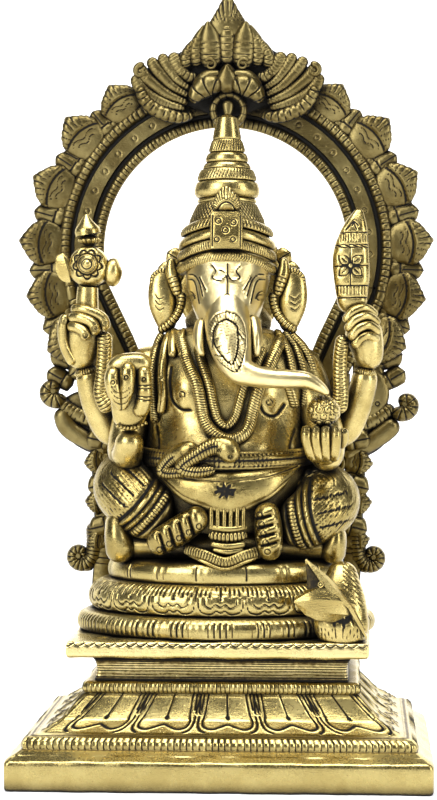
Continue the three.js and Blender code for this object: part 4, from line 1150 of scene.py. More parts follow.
# crossed leg in punched cloth: the knee dotted and scored, bands and a toothed anklet round the shin
def buildLeg(word, side):
    grid, _, _ = limb(leg[word], 136, 156)
    x, z = grid[..., 0], grid[..., 2]
    facing = within(-outward(grid)[..., 1] * 1.6)
    knee = (-31.5, 92.5) if side < 0 else (34.5, 86.0)
    # distance from the knee towards the foot, seen from the front
    slope = np.radians(leg["towardsFoot"][0 if side < 0 else 1])
    toFoot = (x - knee[0]) * np.cos(slope) + (z - knee[1]) * np.sin(slope)
    crossways = -(x - knee[0]) * np.sin(slope) + (z - knee[1]) * np.cos(slope)
    u, v = (x + z) / leg["dotPitch"] * 0.75, (x - z) / leg["dotPitch"] * 0.75
    dots = np.exp(-((((u % 1) - 0.5) ** 2 + ((v % 1) - 0.5) ** 2)
        / 0.09)) * facing * (toFoot < 5.2) * (toFoot > -12)
    scores = sum(near(crossways, k, 0.35) for k in (-4.2, 0.4, 5.0)) * (toFoot < 4.2) * (toFoot > -7) * facing
    band = np.zeros(x.shape)
    down = toFoot + 0.012 * crossways**2
    for at, wide in ((6.3, 0.75), (8.9, 0.5), (11.0, 0.4), (14.4, 0.6)):
        band += near(down, at, wide) * facing
    inAnklet = (down > 11.4) & (down < 14.0)
    teeth = cuts(crossways, 1.15, 0.22) * inAnklet * facing
    swell = near(down, 7.6, 1.0) + near(down, 9.9, 0.9) + near(down, 12.7, 1.4)
    height = -0.4 * dots - 0.4 * scores - 0.8 * band - 0.26 * teeth + 0.6 * swell * facing
    groove = 0.85 * dots + 0.95 * scores + band + 0.85 * teeth
    parts = [(raised(grid, height), within(groove))]
    # cloth gathered under the knee, down to the cushion
    if side < 0:
        fold = limb([(-34.6, -13, 84, 3.4, 5), (-34.0, -15.4, 77, 4.4, 6), (-32.6, -16, 71.5, 5.2, 5.4),
            (-31.6, -16, 68.4, 5.0, 5)], 70, 60)
    else:
        fold = limb([(36.2, -12, 80, 3.0, 5), (35.8, -13.4, 75, 3.8, 6), (34.6, -13.4, 71, 4.6, 5.4),
            (33.6, -13, 68.4, 4.6, 5)], 70, 60)
    parts.append((fold[0], 0.05))
    figureCasting(f"{word}_leg_chased", parts, f"{word}_leg", finish=shadedClothBrass)


# a short finger or toe with a ringed nail at its tip
def digit(points, radius, facing=(0, -1, 0), nail=(0, -1, 0.1), nailAt=0.86, nailSize=0.55,
        rows=40, grow=0.85):
    p = np.asarray(points, float)
    q = curveThrough(p, rows)
    size = radius * np.interp(np.linspace(0, 1, rows), [0, 0.5, 0.85, 1], [1.0, 0.92, 0.96, grow])
    grid, _, _ = tube(q, size, size * 0.95, 20, facing)
    parts = [(grid, 0.0)]
    if nail is not None:
        k = int(nailAt * (rows - 1))
        way = unit(np.asarray(nail, float))
        parts += studs([q[k] + way * (size[k] * 0.82)], [way], [radius * nailSize], ringDot, 14)
    return parts


# a foot seen from the front: a rounded block, its lower half cut by slits into five toes with ringed nails
def buildFoot(word, stations, toes, slits, nails):
    grid, phi, _ = limb(stations, 110, 120, power=0.8)
    flat = grid[..., [0, 2]]
    front = faceOn(phi, 1.6)
    cut = nearLines(flat, slits, 0.42) * front
    swell = nearLines(flat, toes, 1.5) * front
    marks = nearLines(flat, [ring(at, 0.85) for at in nails], 0.24) * front
    height = -1.1 * cut + 0.7 * swell - 0.25 * marks
    figureCasting(f"{word}_foot_toes", [(raised(grid, height), within(cut + 0.85 * marks))], f"{word}_foot",
        finish=shadedClothBrass)


# both feet: toe tips on a slanting line, roots behind them and a slit between each two
def buildFeet():
    s = np.arange(5) / 4
    tips = np.stack([-19.6 + 12.4 * s, 73.4 + 7.4 * s], 1)
    roots = tips + [-1.6, 5.0]
    slits = [np.array([(tips[k] + tips[k + 1]) / 2 + (0.5, -2.2), (roots[k] + roots[k + 1]) / 2 - (0, 0.8)])
        for k in range(4)]
    buildFoot("right", [(-23.0, -22.4, 74.6, 3.4, 4.6), (-18.6, -24.4, 76.4, 4.4, 5.0),
        (-13.0, -25.0, 79.8, 4.6, 5.0), (-7.6, -24.6, 83.4, 4.0, 4.8), (-5.2, -23.6, 84.8, 2.8, 3.6)],
        [np.array([tips[k], roots[k]]) for k in range(5)], slits, tips + [0.1, 0.4])
    tips = np.stack([11.9 + 2.4 * s, 84.6 - 11.4 * s], 1)
    roots = tips + [4.2, 1.7]
    slits = [np.array([(tips[k] + tips[k + 1]) / 2 + (-1.6, 0.2), (roots[k] + roots[k + 1]) / 2 - (0.8, 0.2)])
        for k in range(4)]
    buildFoot("left", [(15.6, -23.0, 70.6, 2.8, 3.8), (15.2, -24.6, 74.4, 4.0, 4.8),
        (14.8, -25.2, 79.4, 4.4, 5.0), (14.4, -24.8, 84.4, 4.0, 4.8), (14.0, -23.4, 88.0, 2.8, 3.6)],
        [np.array([tips[k], roots[k]]) for k in range(5)], slits, tips + [0.4, 0.1])


buildLeg("right", -1)
buildLeg("left", 1)
buildFeet()
print("legs and feet chased")


head = {"levels": [(177, 11, 0.6, -9, 10), (173, 13.6, 0.7, -12, 12), (169, 14.4, 0.8, -14, 13),
    (164, 14.3, 0.8, -16.4, 13), (158, 13.4, 0.8, -19, 13), (153, 12.1, 0.8, -21.6, 12),
    (148.5, 10.6, 0.9, -23.8, 10.5), (144.5, 9.2, 1.1, -24.6, 8), (140, 7.4, 1.3, -22, 5),
    (136.5, 5.0, 1.4, -16, 1)]}


# the head: a stack of ovals with their own middle, front and back, engraved on the front
def buildHead():
    q = curveThrough([(w, cx, f, b, z) for z, w, cx, f, b in head["levels"]], 115)
    w, cx, f, b, z = (q[:, k:k + 1] for k in range(5))
    phi = np.linspace(0, 2 * np.pi, 240, endpoint=False)[None, :]
    middleY, deep = (f + b) / 2, (b - f) / 2
    c, s = np.cos(phi), np.sin(phi)
    c = np.sign(c) * np.abs(c) ** 0.92
    grid = np.stack([cx + w * c, middleY - deep * s, z + 0 * c], -1)
    front = within(s * 1.5)
    flat = grid[..., [0, 2]]
    mid = 0.6

    def both(lines):
        return mirroredLines(lines, mid)

    brows = both([bent([(-12.4, 160.4), (-10.8, 160.9), (-9.1, 160.4), (-7.8, 158.6), (-7.0, 156.3),
        (-6.4, 153.8)]), bent([(-12.2, 159.0), (-10.9, 159.4), (-9.5, 158.8), (-8.7, 157.0), (-8.1, 154.3),
        (-7.6, 151.6)]), bent([(-12.0, 154.9), (-10.9, 155.5), (-9.8, 154.8), (-9.1, 153.2)]),
        bent([(-7.6, 160.0), (-6.4, 157.6), (-5.4, 155.8)]), ring((-10.7, 153.4), 1.15, 0.8)])
    cheeks = both([bent([(-11.0, 151.0), (-9.4, 149.0), (-8.6, 146.6)])])
    tilak = [bent([(-3.6, 163.7), (-2.3, 161.8), (-3.5, 159.8), (-1.9, 158.9), (-0.3, 159.0), (1.2, 160.6)]),
        bent([(5.4, 163.5), (4.1, 161.8), (5.4, 159.8), (3.9, 158.9), (2.5, 159.1), (1.7, 160.4)]),
        np.array([(1.45, 164.2), (1.45, 154.6)]), ring((1.5, 153.4), 1.0),
        bent([(-1.2, 162.2), (0.4, 161.6)], 4)]
    lines = nearLines(flat, brows + tilak, 0.3) * front
    soft = nearLines(flat, cheeks, 0.7) * front
    eyes = sum(np.exp(-(((flat[..., 0] - x) / 1.5) ** 2) - ((flat[..., 1] - 153.4) / 1.1) ** 2)
        for x in (-10.7, 11.9)) * front
    jowl = np.exp(-(((np.abs(flat[..., 0] - 1) - 8.5) / 2.4) ** 2)
        - ((flat[..., 1] - 147) / 3.5) ** 2) * front
    grid = raised(grid, -0.34 * lines - 0.3 * soft + 0.6 * eyes + 0.5 * jowl)
    nape = limb([(0.6, 4, 135, 16, 9), (0.6, 4, 141, 16, 9.4), (0.6, 3.4, 148, 14.6, 9.4),
        (0.6, 3, 156, 13, 9)], 60, 90)
    figureCasting("head_engraved", [(grid, lines + 0.3 * soft), (nape[0], 0.3)], "head", finish=polishedLitBrass)


# the trunk, with its teardrop plate raised on the front, and the two broken-short tusks
def buildTrunk():
    grid, phi, _ = limb([(1.0, -12.6, 156, 6.0, 5.6), (1.2, -16.4, 150.6, 6.8, 6.0),
        (1.6, -20.2, 145.2, 7.3, 6.2), (2.4, -23.4, 139.4, 6.9, 5.9), (4.0, -26.0, 133.6, 5.7, 5.1),
        (6.6, -28.0, 130.2, 4.6, 4.0), (11.0, -29.4, 128.6, 3.5, 3.3), (16.0, -30.0, 127.9, 3.1, 3.0),
        (21.5, -30.2, 127.6, 3.0, 2.8), (27.0, -30.3, 127.2, 2.6, 2.5), (31.0, -30.4, 125.2, 1.9, 2.0),
        (33.8, -30.6, 123.0, 0.8, 1.0)], 220, 120)
    flat = grid[..., [0, 2]]
    front = faceOn(phi, 1.5)
    rim = bent([(1.6, 149.0), (-2.4, 147.4), (-4.5, 143.4), (-4.2, 139.2), (-2.2, 135), (1.2, 131.6),
        (4.8, 129.9), (6.6, 133), (7.6, 138), (7.4, 143), (5.4, 147.4), (1.6, 149.0)], 70)
    inner = bent([(1.7, 146.4), (-0.9, 145.2), (-2.4, 142.4), (-1.9, 138.4), (0.4, 135), (3.4, 132.4),
        (4.9, 135.4), (5.3, 140), (4.6, 144.4), (1.7, 146.4)], 60)
    centre = np.array([1.9, 139.6])
    away = flat - centre
    angle = np.arctan2(away[..., 0], away[..., 1])
    rimAt = np.interp(angle, *sortedAngles(rim - centre))
    innerAt = np.interp(angle, *sortedAngles(inner - centre))
    far = np.linalg.norm(away, axis=-1)
    between = within((far - innerAt) / 0.3) * within((rimAt - far) / 0.3) * front
    hatch = cuts(angle * 6.2, 0.78, 0.16) * between
    inside = within((innerAt - far) / 0.3) * front
    chevron = cuts(flat[..., 1] + 0.55 * np.abs(np.abs(flat[..., 0] - 1.8) - 1.6), 0.95, 0.17) * inside
    lines = nearLines(flat, [rim, inner], 0.24) * front
    plate = (between + inside) * 0.55
    height = plate - 0.35 * lines - 0.22 * hatch - 0.2 * chevron
    figureCasting("trunk_chased", [(raised(grid, height), lines + 0.75 * hatch + 0.7 * chevron)], "trunk",
        finish=polishedLitBrass)
    for word, stations in (("right", [(-6.8, -15.5, 146, 2.2, 2.6), (-7.4, -19.5, 141.6, 2.1, 2.4),
            (-7.0, -22.0, 137.6, 1.7, 1.9), (-6.2, -22.6, 134.8, 1.0, 1.2)]),
            ("left", [(9.4, -15.5, 147, 2.2, 2.6), (10.4, -19.4, 142.8, 2.1, 2.4),
            (10.8, -21.8, 138.6, 1.7, 1.9), (10.6, -22.6, 134.6, 1.0, 1.2)])):
        figureCasting(f"{word}_tusk_smooth", [smooth(stations, 60, 36)], f"{word}_tusk", finish=polishedLitBrass)


# directions round a closed flat line in rising order, with how far out the line lies in each
def sortedAngles(points):
    a = np.arctan2(points[:, 0], points[:, 1])
    far = np.linalg.norm(points, axis=1)
    order = np.argsort(a)
    a, far = a[order], far[order]
    return np.concatenate([a - 2 * np.pi, a, a + 2 * np.pi]), np.concatenate([far, far, far])


# an ear: a smooth hanging lobe with chiselled folds, a toothed curl round its foot, frills at its top
def buildEar(word, side):
    def at(x, z):
        return 0.6 + side * x, z

    def ribbed(points, r, y, pitch=1.25):
        q = curveThrough([(at(x, z)[0], y - k * 0.15, at(x, z)[1]) for k, (x, z) in enumerate(points)], 90)
        grid, phi, run = tube(q, r, r, 18)
        teeth = cuts(run, pitch, 0.2)[:, None] * (np.sin(phi) > -0.3)[None, :]
        return raised(grid, -0.25 * teeth), 0.9 * teeth

    def hung(stations, rows, around):
        return limb([(at(x, z)[0], y, z, wide, thick) for x, y, z, wide, thick in stations], rows, around)

    lobe, phi, run = hung([(19.8, -0.5, 163.0, 2.6, 1.6), (21.6, -1.2, 158, 4.0, 2.2),
        (21.2, -1.6, 152, 4.6, 2.6), (20.2, -1.4, 146.4, 3.6, 2.2), (19.4, -1.0, 142.2, 2.2, 1.6)], 110, 70)
    folds = [bent([(at(23.6, z)), at(22.2, z - 1.5), at(20.6, z - 0.7)], 8) for z in (154.6, 152.8, 151.0)]
    lines = nearLines(lobe[..., [0, 2]], folds, 0.26) * faceOn(phi)
    small, phi2, run2 = hung([(18.4, -2.4, 166.6, 1.2, 1.4), (18.2, -3.0, 162, 2.0, 1.8),
        (16.8, -3.4, 157.4, 1.9, 1.8), (16.0, -3.2, 154, 1.2, 1.4)], 80, 36)
    nicks = cuts(run2, 1.5, 0.24)[:, None] * (np.sin(phi2) > 0)[None, :] * (run2 > run2[-1] * 0.45)[:, None]
    parts = [(raised(lobe, -0.25 * lines), 0.9 * lines), (raised(small, -0.25 * nicks), 0.85 * nicks),
        ribbed([(14.6, 155.4), (15.2, 151), (16.8, 147.4), (19.6, 144.4), (22.6, 142.6)], 1.5, -3.2),
        ribbed([(24.8, 157.6), (24.2, 160.6), (21.8, 162.4), (18.8, 162.2)], 0.95, -1.6, 1.0)]
    if side < 0:
        parts.append(ribbed([(24.6, 156.4), (24.2, 152), (23.4, 147.6)], 0.7, -1.2, 1.6))
    figureCasting(f"{word}_ear_frilled", parts, f"{word}_ear")


for word, side in (("right", -1), ("left", 1)):
    buildEar(word, side)
buildHead()
buildTrunk()
print("head chased")


crown = {"middle": 0.4, "y": -1.5, "sag": 4.2, "ratio": 0.9}


# an oval tier from [half width, height] levels, its sides dipping like a headband by sag, toothed where asked
def tier(levels, sag=0.0, teeth=None, around=184, step=0.36, y=None, hatch=None):
    section = outline(levels, step)
    grid, phi = ovalStack(section[:, 0], section[:, 0] * crown["ratio"], section[:, 1], around,
        crown["middle"], crown["y"] if y is None else y)
    grid[..., 2] -= sag * (np.cos(phi)[None, :] ** 2) * within(section[:, :1] / section[:, 0].max())
    height, groove = np.zeros(grid.shape[:2]), np.zeros(grid.shape[:2])
    s, total = roundOval(section[:, 0].max(), section[:, 0].max() * crown["ratio"], phi)
    for low, high, pitch, slant in teeth or ():
        zz = section[:, 1:2]
        on = within((zz - low) / 0.25) * within((high - zz) / 0.25) * (section[:, :1] > 3)
        count = max(8, round(total / pitch))
        cut = cuts(s[None, :] / total * count + slant * (zz - low), 1.0, 0.17) * on
        if hatch:
            cut = np.maximum(cut, cuts(s[None, :] / total * count - slant * (zz - low), 1.0, 0.17) * on)
        height -= 0.24 * cut
        groove = np.maximum(groove, 0.9 * cut)
    return raised(grid, height), groove


# the crown: oval tiers stacked in three castings
def buildCrown():
    sag = crown["sag"]
    band = [tier([(0.4, 164.4), (13.6, 164.4), (15.8, 164.9), (16.6, 166.2), (16.3, 167.8), (15.2, 168.6),
        (0.4, 168.6)], sag, [(164.9, 168.2, 0.9, 0.5)], 420),
        tier([(0.4, 169.0), (15.0, 169.0), (16.0, 169.4), (16.3, 170.6), (15.9, 172.2), (15.2, 172.5),
        (0.4, 172.5)], sag, [(169.3, 172.2, 0.85, -0.25)], 420),
        tier([(0.4, 172.4), (15.2, 172.6), (16.0, 173.6), (15.8, 174.9), (15.2, 175.6), (14.4, 176.2),
        (0.4, 176.2)], sag * 0.9), tier([(0.4, 176.2), (14.8, 176.4), (15.4, 177.4), (14.6, 179.0),
        (13.4, 179.8), (0.4, 179.8)], sag * 0.8, [(176.6, 179.4, 1.35, 0.1)], 360), plateWithRings()]
    figureCasting("crown_bands", band, "crown_band")
    dome = [tier([(0.4, 178.0), (12.6, 178.0), (12.2, 180.4), (10.6, 183.6), (9.6, 185.4), (0.4, 185.6)], 1.6,
        [(178.4, 185.0, 1.3, 0.6)], 300, hatch=True),
        tier([(0.4, 184.6), (9.0, 184.6), (9.8, 185.2), (9.5, 186.2), (0.4, 186.4)], 0.6),
        tier([(0.4, 186.0), (9.4, 186.1), (10.5, 187.2), (10.7, 188.8), (10.2, 190.8), (9.6, 191.6),
        (0.4, 191.6)], 0.4), tier([(0.4, 191.6), (9.5, 191.8), (9.8, 192.4), (9.0, 194.6), (8.4, 195.6),
        (0.4, 195.8)], 0.4, [(191.9, 195.4, 1.15, 0.28)]),
        tier([(0.4, 195.6), (8.0, 195.7), (7.7, 196.6), (7.0, 197.6), (0.4, 197.8)], 0.3), archedLeaf()]
    figureCasting("crown_dome_tiers", dome, "crown_dome")
    spire = [tier([(0.4, 197.4), (6.6, 197.6), (7.1, 198.3), (6.6, 200.2), (5.9, 200.8), (0.4, 201.0)], 0.3),
        tier([(0.4, 200.8), (5.8, 200.9), (6.0, 201.6), (5.1, 204.4), (4.6, 205.2), (0.4, 205.3)], 0.2,
        [(201.2, 204.8, 1.0, 0.25)], 200), tier([(0.4, 205.0), (4.7, 205.1), (4.5, 206.6), (3.7, 210.6),
        (3.2, 212.6), (2.4, 213.2), (0.4, 213.4)], 0.2)]
    figureCasting("crown_spire_tiers", spire, "crown_spire")


# the square badge on the crown's front, with five ring punches
def plateWithRings():
    path = curveThrough([(1.0, -16.6, 169.2), (1.0, -16.8, 173), (1.0, -16.0, 177), (1.0, -14.8, 180.4)], 100)
    grid, phi, _ = tube(path, 5.2, 1.7, 120, endRound=False, power=0.35)
    rings = [ring((-1.6, 178.0), 0.85), ring((3.3, 177.5), 0.85), ring((0.7, 175.0), 0.95),
        ring((-2.0, 172.0), 0.75), ring((3.2, 172.0), 0.75)]
    sideLines = [np.array([(-3.5, 169.9), (-3.5, 179.8)]), np.array([(5.5, 169.9), (5.5, 179.8)])]
    cut = nearLines(grid[..., [0, 2]], rings + sideLines, 0.26) * faceOn(phi, 2)
    return raised(grid, -0.26 * cut), 0.95 * cut


# the arched leaf standing on the badge: a ribbed hoop round a smooth centre
def archedLeaf():
    path = curveThrough([(0.8, -12.2, 180.4), (0.8, -11.6, 184), (0.6, -10.8, 187.4),
        (0.6, -10.2, 188.6)], 60)
    half = np.interp(np.linspace(0, 1, 60), [0, 0.35, 0.7, 0.92, 1], [5.9, 5.2, 3.6, 1.9, 0.7])
    grid, phi, _ = tube(path, half, 2.2, 70, power=0.7)
    flat = grid[..., [0, 2]]
    away = flat - np.array([0.8, 180.6])
    angle, far = np.arctan2(away[..., 0], away[..., 1]), np.hypot(away[..., 0] * 1.25, away[..., 1])
    front = faceOn(phi, 2)
    hoop = near(far, 3.5, 0.34) * front
    ribs = cuts(angle * 5.2, 0.85, 0.17) * within((far - 4.2) / 0.3) * front
    foot = near(flat[..., 1], 181.0, 0.3) * front
    return raised(grid, -0.3 * hoop - 0.25 * ribs - 0.3 * foot), within(hoop + 0.85 * ribs + foot)


# the halo behind the head: a plain disc with short pointed leaves round its edge
def buildHalo():
    q = curveThrough([(0.4, 15, 139.2), (0.4, 15, 144), (0.4, 15, 156), (0.4, 15, 168), (0.4, 15, 172.8)], 90)
    half = np.sqrt(np.clip(17.2**2 - (q[:, 2] - 156) ** 2, 0.2, None))
    grid, _, _ = tube(q, half, 1.3, 64, endRound=False, power=0.8)
    parts = [(grid, 0.25)]
    for degrees, size in ((44, 5.0), (58, 7.4), (72, 8.0), (86, 6.8), (100, 6.0)):
        for side in (-1, 1):
            a = math.radians(degrees)
            x, z = 0.2 + side * 16.6 * math.sin(a), 156 + 16.6 * math.cos(a)
            parts.append(leaf((x, z), side * degrees, size, 3.1, 14.6, 1.5, "square"))
    figureCasting("halo_leaves", parts, "head_halo")


buildCrown()
buildHalo()
print("crown chased")


# a cuff round a limb at a place, along a direction, cut with teeth across
def cuff(start, end, half, deep, pitch=1.2, lines=True, y=(0, -1, 0)):
    q = curveThrough([start, tuple((np.array(start) + np.array(end)) / 2), end], 22)
    grid, phi, run = tube(q, half, deep, 84, y, endRound=True)
    middle = run / run[-1]
    on = ((middle > 0.16) & (middle < 0.84))[:, None]
    s, total = roundOval(half, deep, phi)
    teeth = cuts(s / total * round(total / pitch), 1.0, 0.17)[None, :] * on
    rims = (near(middle, 0.14, 0.05) + near(middle, 0.86, 0.05))[:, None] * lines
    return raised(grid, -0.25 * teeth - 0.2 * rims), within(0.9 * teeth + 0.7 * rims)


# a ribbon hanging between the upper and lower hand, ribbed across in curved scales
def ribbon(stations):
    grid, phi, run = limb(stations, 150, 32)
    scale = cuts(run[:, None] + 0.9 * np.cos(phi)[None, :] ** 2, 1.25, 0.2) * (np.sin(phi) > -0.2)[None, :]
    edge = (np.abs(np.cos(phi)) > 0.86)[None, :] * (np.sin(phi) > -0.2)[None, :]
    on = scale * ~edge
    return raised(grid, -0.24 * on), 0.9 * on


# a rear arm: a tube from the shoulder down round the elbow and up to a cuff, and the sash beside it
def buildRearArm(word, side):
    sx = side
    parts = [smooth([(sx * 19, 5, 128, 6.6, 6.4), (sx * 27, 7, 120, 6.0, 6.0),
        (sx * 33.5, 6.5, 110.5, 5.6, 5.6), (sx * 38.6, 4.6, 110.6, 5.3, 5.3), (sx * 42.4, 3, 117.5, 4.9, 4.8),
        (sx * 44.8, 2, 125, 4.4, 4.3), (sx * 45.6, 1.5, 131, 4.0, 4.0)], 150, 90)]
    if side < 0:
        parts.append(cuff((-45.4, 1.4, 126.9), (-46.6, 1.4, 131.6), 5.0, 4.9))
    else:
        parts.append(cuff((45.0, 1.4, 127.0), (45.8, 1.4, 131.4), 4.6, 4.8, 0.95))
    figureCasting(f"{word}_rear_arm_smooth", parts, f"{word}_rear_arm")
    if side < 0:
        piece = ribbon([(-39.6, -3.4, 142.6, 2.5, 2.0), (-39.5, -4, 136, 2.5, 2.0),
            (-40.0, -4.4, 129, 2.4, 2.0), (-40.4, -5, 122, 2.6, 2.2), (-37.6, -6, 116.4, 2.9, 2.2)])
    else:
        piece = ribbon([(38.4, -3.4, 141.4, 2.4, 2.0), (37.4, -4, 135, 2.3, 2.0),
            (37.2, -4.4, 128.4, 2.4, 2.0), (37.4, -5, 122, 2.7, 2.2), (36.6, -6, 116, 2.9, 2.2)])
    figureCasting(f"{word}_sash_ribbed", [piece], f"{word}_sash")


# the front arms: tubes from shoulder to elbow to wrist, with a string of beads on the right wrist
def buildFrontArms():
    right = [smooth([(-20, 0, 136, 7.4, 7), (-25.6, -1.6, 129, 7.4, 7), (-28.4, -3.4, 121, 6.8, 6.4),
        (-31, -5, 112, 6.2, 6), (-32.2, -9.4, 104.6, 5.8, 5.6), (-31.2, -14.6, 102.8, 5.2, 5.0),
        (-30.2, -18.6, 105.6, 4.7, 4.4), (-29.6, -20.8, 111, 4.4, 4.2)], 90, 60)]
    places = [(-33.2 + k * 1.12, -25.2 - 0.5 * math.sin(k * math.pi / 8),
        112.6 - 1.1 * math.sin(k * math.pi / 8) + 0.12 * k) for k in range(9)]
    right += studs(places, [(0, -1, -0.2)] * 9, [0.62] * 9, bead)
    figureCasting("right_front_arm_smooth", right, "right_front_arm")
    left = [smooth([(20, 1, 136, 7.0, 6.4), (25.4, 0, 129, 6.8, 6.2), (28.4, -2.6, 121, 6.6, 6.2),
        (32, -7, 111, 6.2, 6), (33, -12.6, 104, 5.8, 5.4), (31.4, -19, 102.6, 5.0, 4.6)], 90, 60)]
    figureCasting("left_front_arm_smooth", left, "left_front_arm")


# the rear hands: a palm and four curled fingers with ringed nails
def buildRearHands():
    right = [smooth([(-46.0, 1.4, 130, 4.4, 4.2), (-47.2, 0.4, 136, 6.0, 4.6), (-46.6, 0, 142, 6.9, 4.8),
        (-45.6, 0.4, 148.2, 5.6, 4.4)], 56, 48)]
    for points, r in (([(-50.4, -3.0, 150.0), (-45.4, -5.2, 149.4), (-40.2, -5.4, 147.0),
            (-38.8, -5.8, 142.8)], 1.95),
            ([(-51.0, -4.0, 147.0), (-47.2, -6.2, 147.0), (-43.0, -7.0, 145.0), (-41.8, -7.2, 141.4)], 1.95),
            ([(-51.2, -4.0, 144.2), (-48.4, -6.2, 144.0), (-45.8, -7.2, 142.4), (-44.8, -7.4, 139.6)], 1.85),
            ([(-49.6, -2.0, 131.6), (-52.6, -3.0, 137.6), (-53.2, -3.6, 143.6), (-52.0, -3.8, 148.4)], 1.8)):
        right += digit(points, r, nail=(0.05, -1, 0.1), nailSize=0.62)
    figureCasting("right_rear_hand_fingers", right, "right_rear_hand")
    left = [smooth([(45.8, 1.4, 130, 4.2, 4.0), (46.2, 0.4, 136, 5.2, 4.4), (45.0, 0, 142, 6.0, 4.6),
        (44.0, 0.4, 147.6, 5.4, 4.2)], 56, 48)]
    for points, r in (([(49.0, -0.6, 147.6), (45.6, -4.2, 150.2), (41.4, -5.6, 149.0),
            (38.6, -5.4, 145.6)], 1.55),
            ([(49.8, -1.4, 145.0), (46.2, -5.0, 147.6), (42.0, -6.6, 146.2), (39.2, -6.2, 142.6)], 1.55),
            ([(50.0, -2.0, 142.2), (46.6, -5.6, 144.6), (42.8, -7.0, 143.2), (40.4, -6.6, 139.8)], 1.55),
            ([(49.6, -1.6, 139.6), (46.6, -5.2, 141.4), (43.6, -6.4, 140.2), (41.6, -6.0, 137.2)], 1.5)):
        left += digit(points, r, nail=(-0.3, -1, 0.1))
    figureCasting("left_rear_hand_fingers", left, "left_rear_hand")


# the raised lower hand: curled fingers over a leaf-marked thumb, and the hand holding the sweets
def buildFrontHands():
    right = [smooth([(-29.4, -21.4, 111, 4.6, 3.8), (-29.6, -22.8, 117, 5.6, 3.6),
        (-29.4, -23.4, 125, 6.2, 3.4), (-29.0, -23.2, 132.0, 5.6, 3.0)], 64, 56)]
    right.append(smooth([(-35.2, -24.6, 129.4, 2.4, 2.4), (-33.0, -25.0, 131.8, 3.2, 3.0),
        (-29.4, -25.2, 132.6, 3.3, 3.2), (-25.6, -25.0, 132.4, 3.3, 3.2),
        (-23.2, -24.6, 130.4, 2.4, 2.4)], 90, 60))
    for line, r in (([(-34.0, -26.6, 131.0), (-34.6, -28.4, 128.0), (-33.8, -28.8, 123.6),
            (-31.6, -28.2, 117.6)], 2.5),
            ([(-30.0, -27.0, 132.6), (-29.6, -29.0, 129.6), (-29.8, -29.2, 124.4),
            (-31.2, -28.4, 117.8)], 2.5)):
        q = curveThrough(line, 64)
        size = r * np.interp(np.linspace(0, 1, 64), [0, 0.3, 0.6, 1], [0.9, 1.0, 0.95, 0.35])
        lobe, phi, run = tube(q, size, size * 0.9, 30)
        fold = [np.array([(-31.5, 128), (-31.6, 117)])] + [bent([(-31.6, z), (-31.6 + s * 1.8, z + 0.6),
            (-31.6 + s * 3.0, z + 2.2)], 6) for z in (119.6, 121.4, 123.2) for s in (-1, 1)]
        cut = nearLines(lobe[..., [0, 2]], fold, 0.24) * faceOn(phi)
        right.append((raised(lobe, -0.25 * cut), 0.8 * cut))
    finger, phi, run = limb([(-24.8, -26.4, 131.6, 2.1, 2.0), (-24.4, -27.8, 127, 2.3, 2.1),
        (-24.5, -27.4, 121, 2.4, 2.1), (-26.4, -26.2, 115.6, 2.5, 2.0)], 90, 36)
    rings = sum(near(run, at, 0.26) for at in (6.2, 7.2, 9.6, 10.6))[:, None] * (np.sin(phi) > 0)[None, :]
    right.append((raised(finger, -0.25 * rings), 0.9 * rings))
    right += studs([(-34.0, -30.9, 126.6), (-29.8, -31.4, 128.2), (-24.4, -29.9, 127.6)],
        [(-0.2, -1, 0), (0, -1, 0), (0.1, -1, 0)], [1.15, 1.15, 1.1], ringDot, 18)
    figureCasting("right_front_hand_fingers", right, "right_front_hand")

    left = [smooth([(30.4, -19.5, 102.8, 4.6, 4.2), (31.6, -23.4, 105, 5.8, 4.0),
        (32.2, -25.0, 109.4, 6.4, 3.8), (32.6, -25.2, 113.4, 5.4, 3.4)], 56, 52)]
    for x in (26.9, 29.8, 32.9, 36.2):
        left += digit([(32.2 + (x - 31.5) * 0.62, -24.4, 102.6), (32 + (x - 31.5) * 0.8, -28.2, 104.0),
            (x, -29.8, 108.6), (x, -29.4, 113.2)], 1.72, nail=(0, -1, 0.25), nailAt=0.88, nailSize=0.68)
    left += digit([(37.4, -24.6, 106.0), (38.6, -26.6, 108.6), (38.4, -27.8, 112.2)], 1.6,
        nail=(0.3, -1, 0.2))
    figureCasting("left_front_hand_fingers", left, "left_front_hand")

    heap, phi, run = limb([(32.2, -26.4, 112.6, 4.6, 4.4), (32.2, -26.6, 117.4, 5.3, 5.0),
        (32.2, -26.4, 122.6, 4.2, 4.2)], 90, 96)
    x, z = heap[..., 0] - 32.2, heap[..., 2] - 117
    row = np.floor(z / 2.3)
    cx = (np.floor((x / 2.9 + (row % 2) * 0.5)) + 0.5 - (row % 2) * 0.5) * 2.9
    cz = (row + 0.5) * 2.3
    away = np.hypot(x - cx, z - cz)
    circle = near(away, 1.1, 0.16) * faceOn(phi, 2)
    dome = 0.35 * within(1 - (away / 1.1) ** 2)
    figureCasting("sweet_heap_rings", [(raised(heap, dome - 0.2 * circle), 0.85 * circle)], "sweet_heap")


for word, side in (("right", -1), ("left", 1)):
    buildRearArm(word, side)
buildFrontArms()
buildRearHands()
buildFrontHands()
print("arms and hands chased")


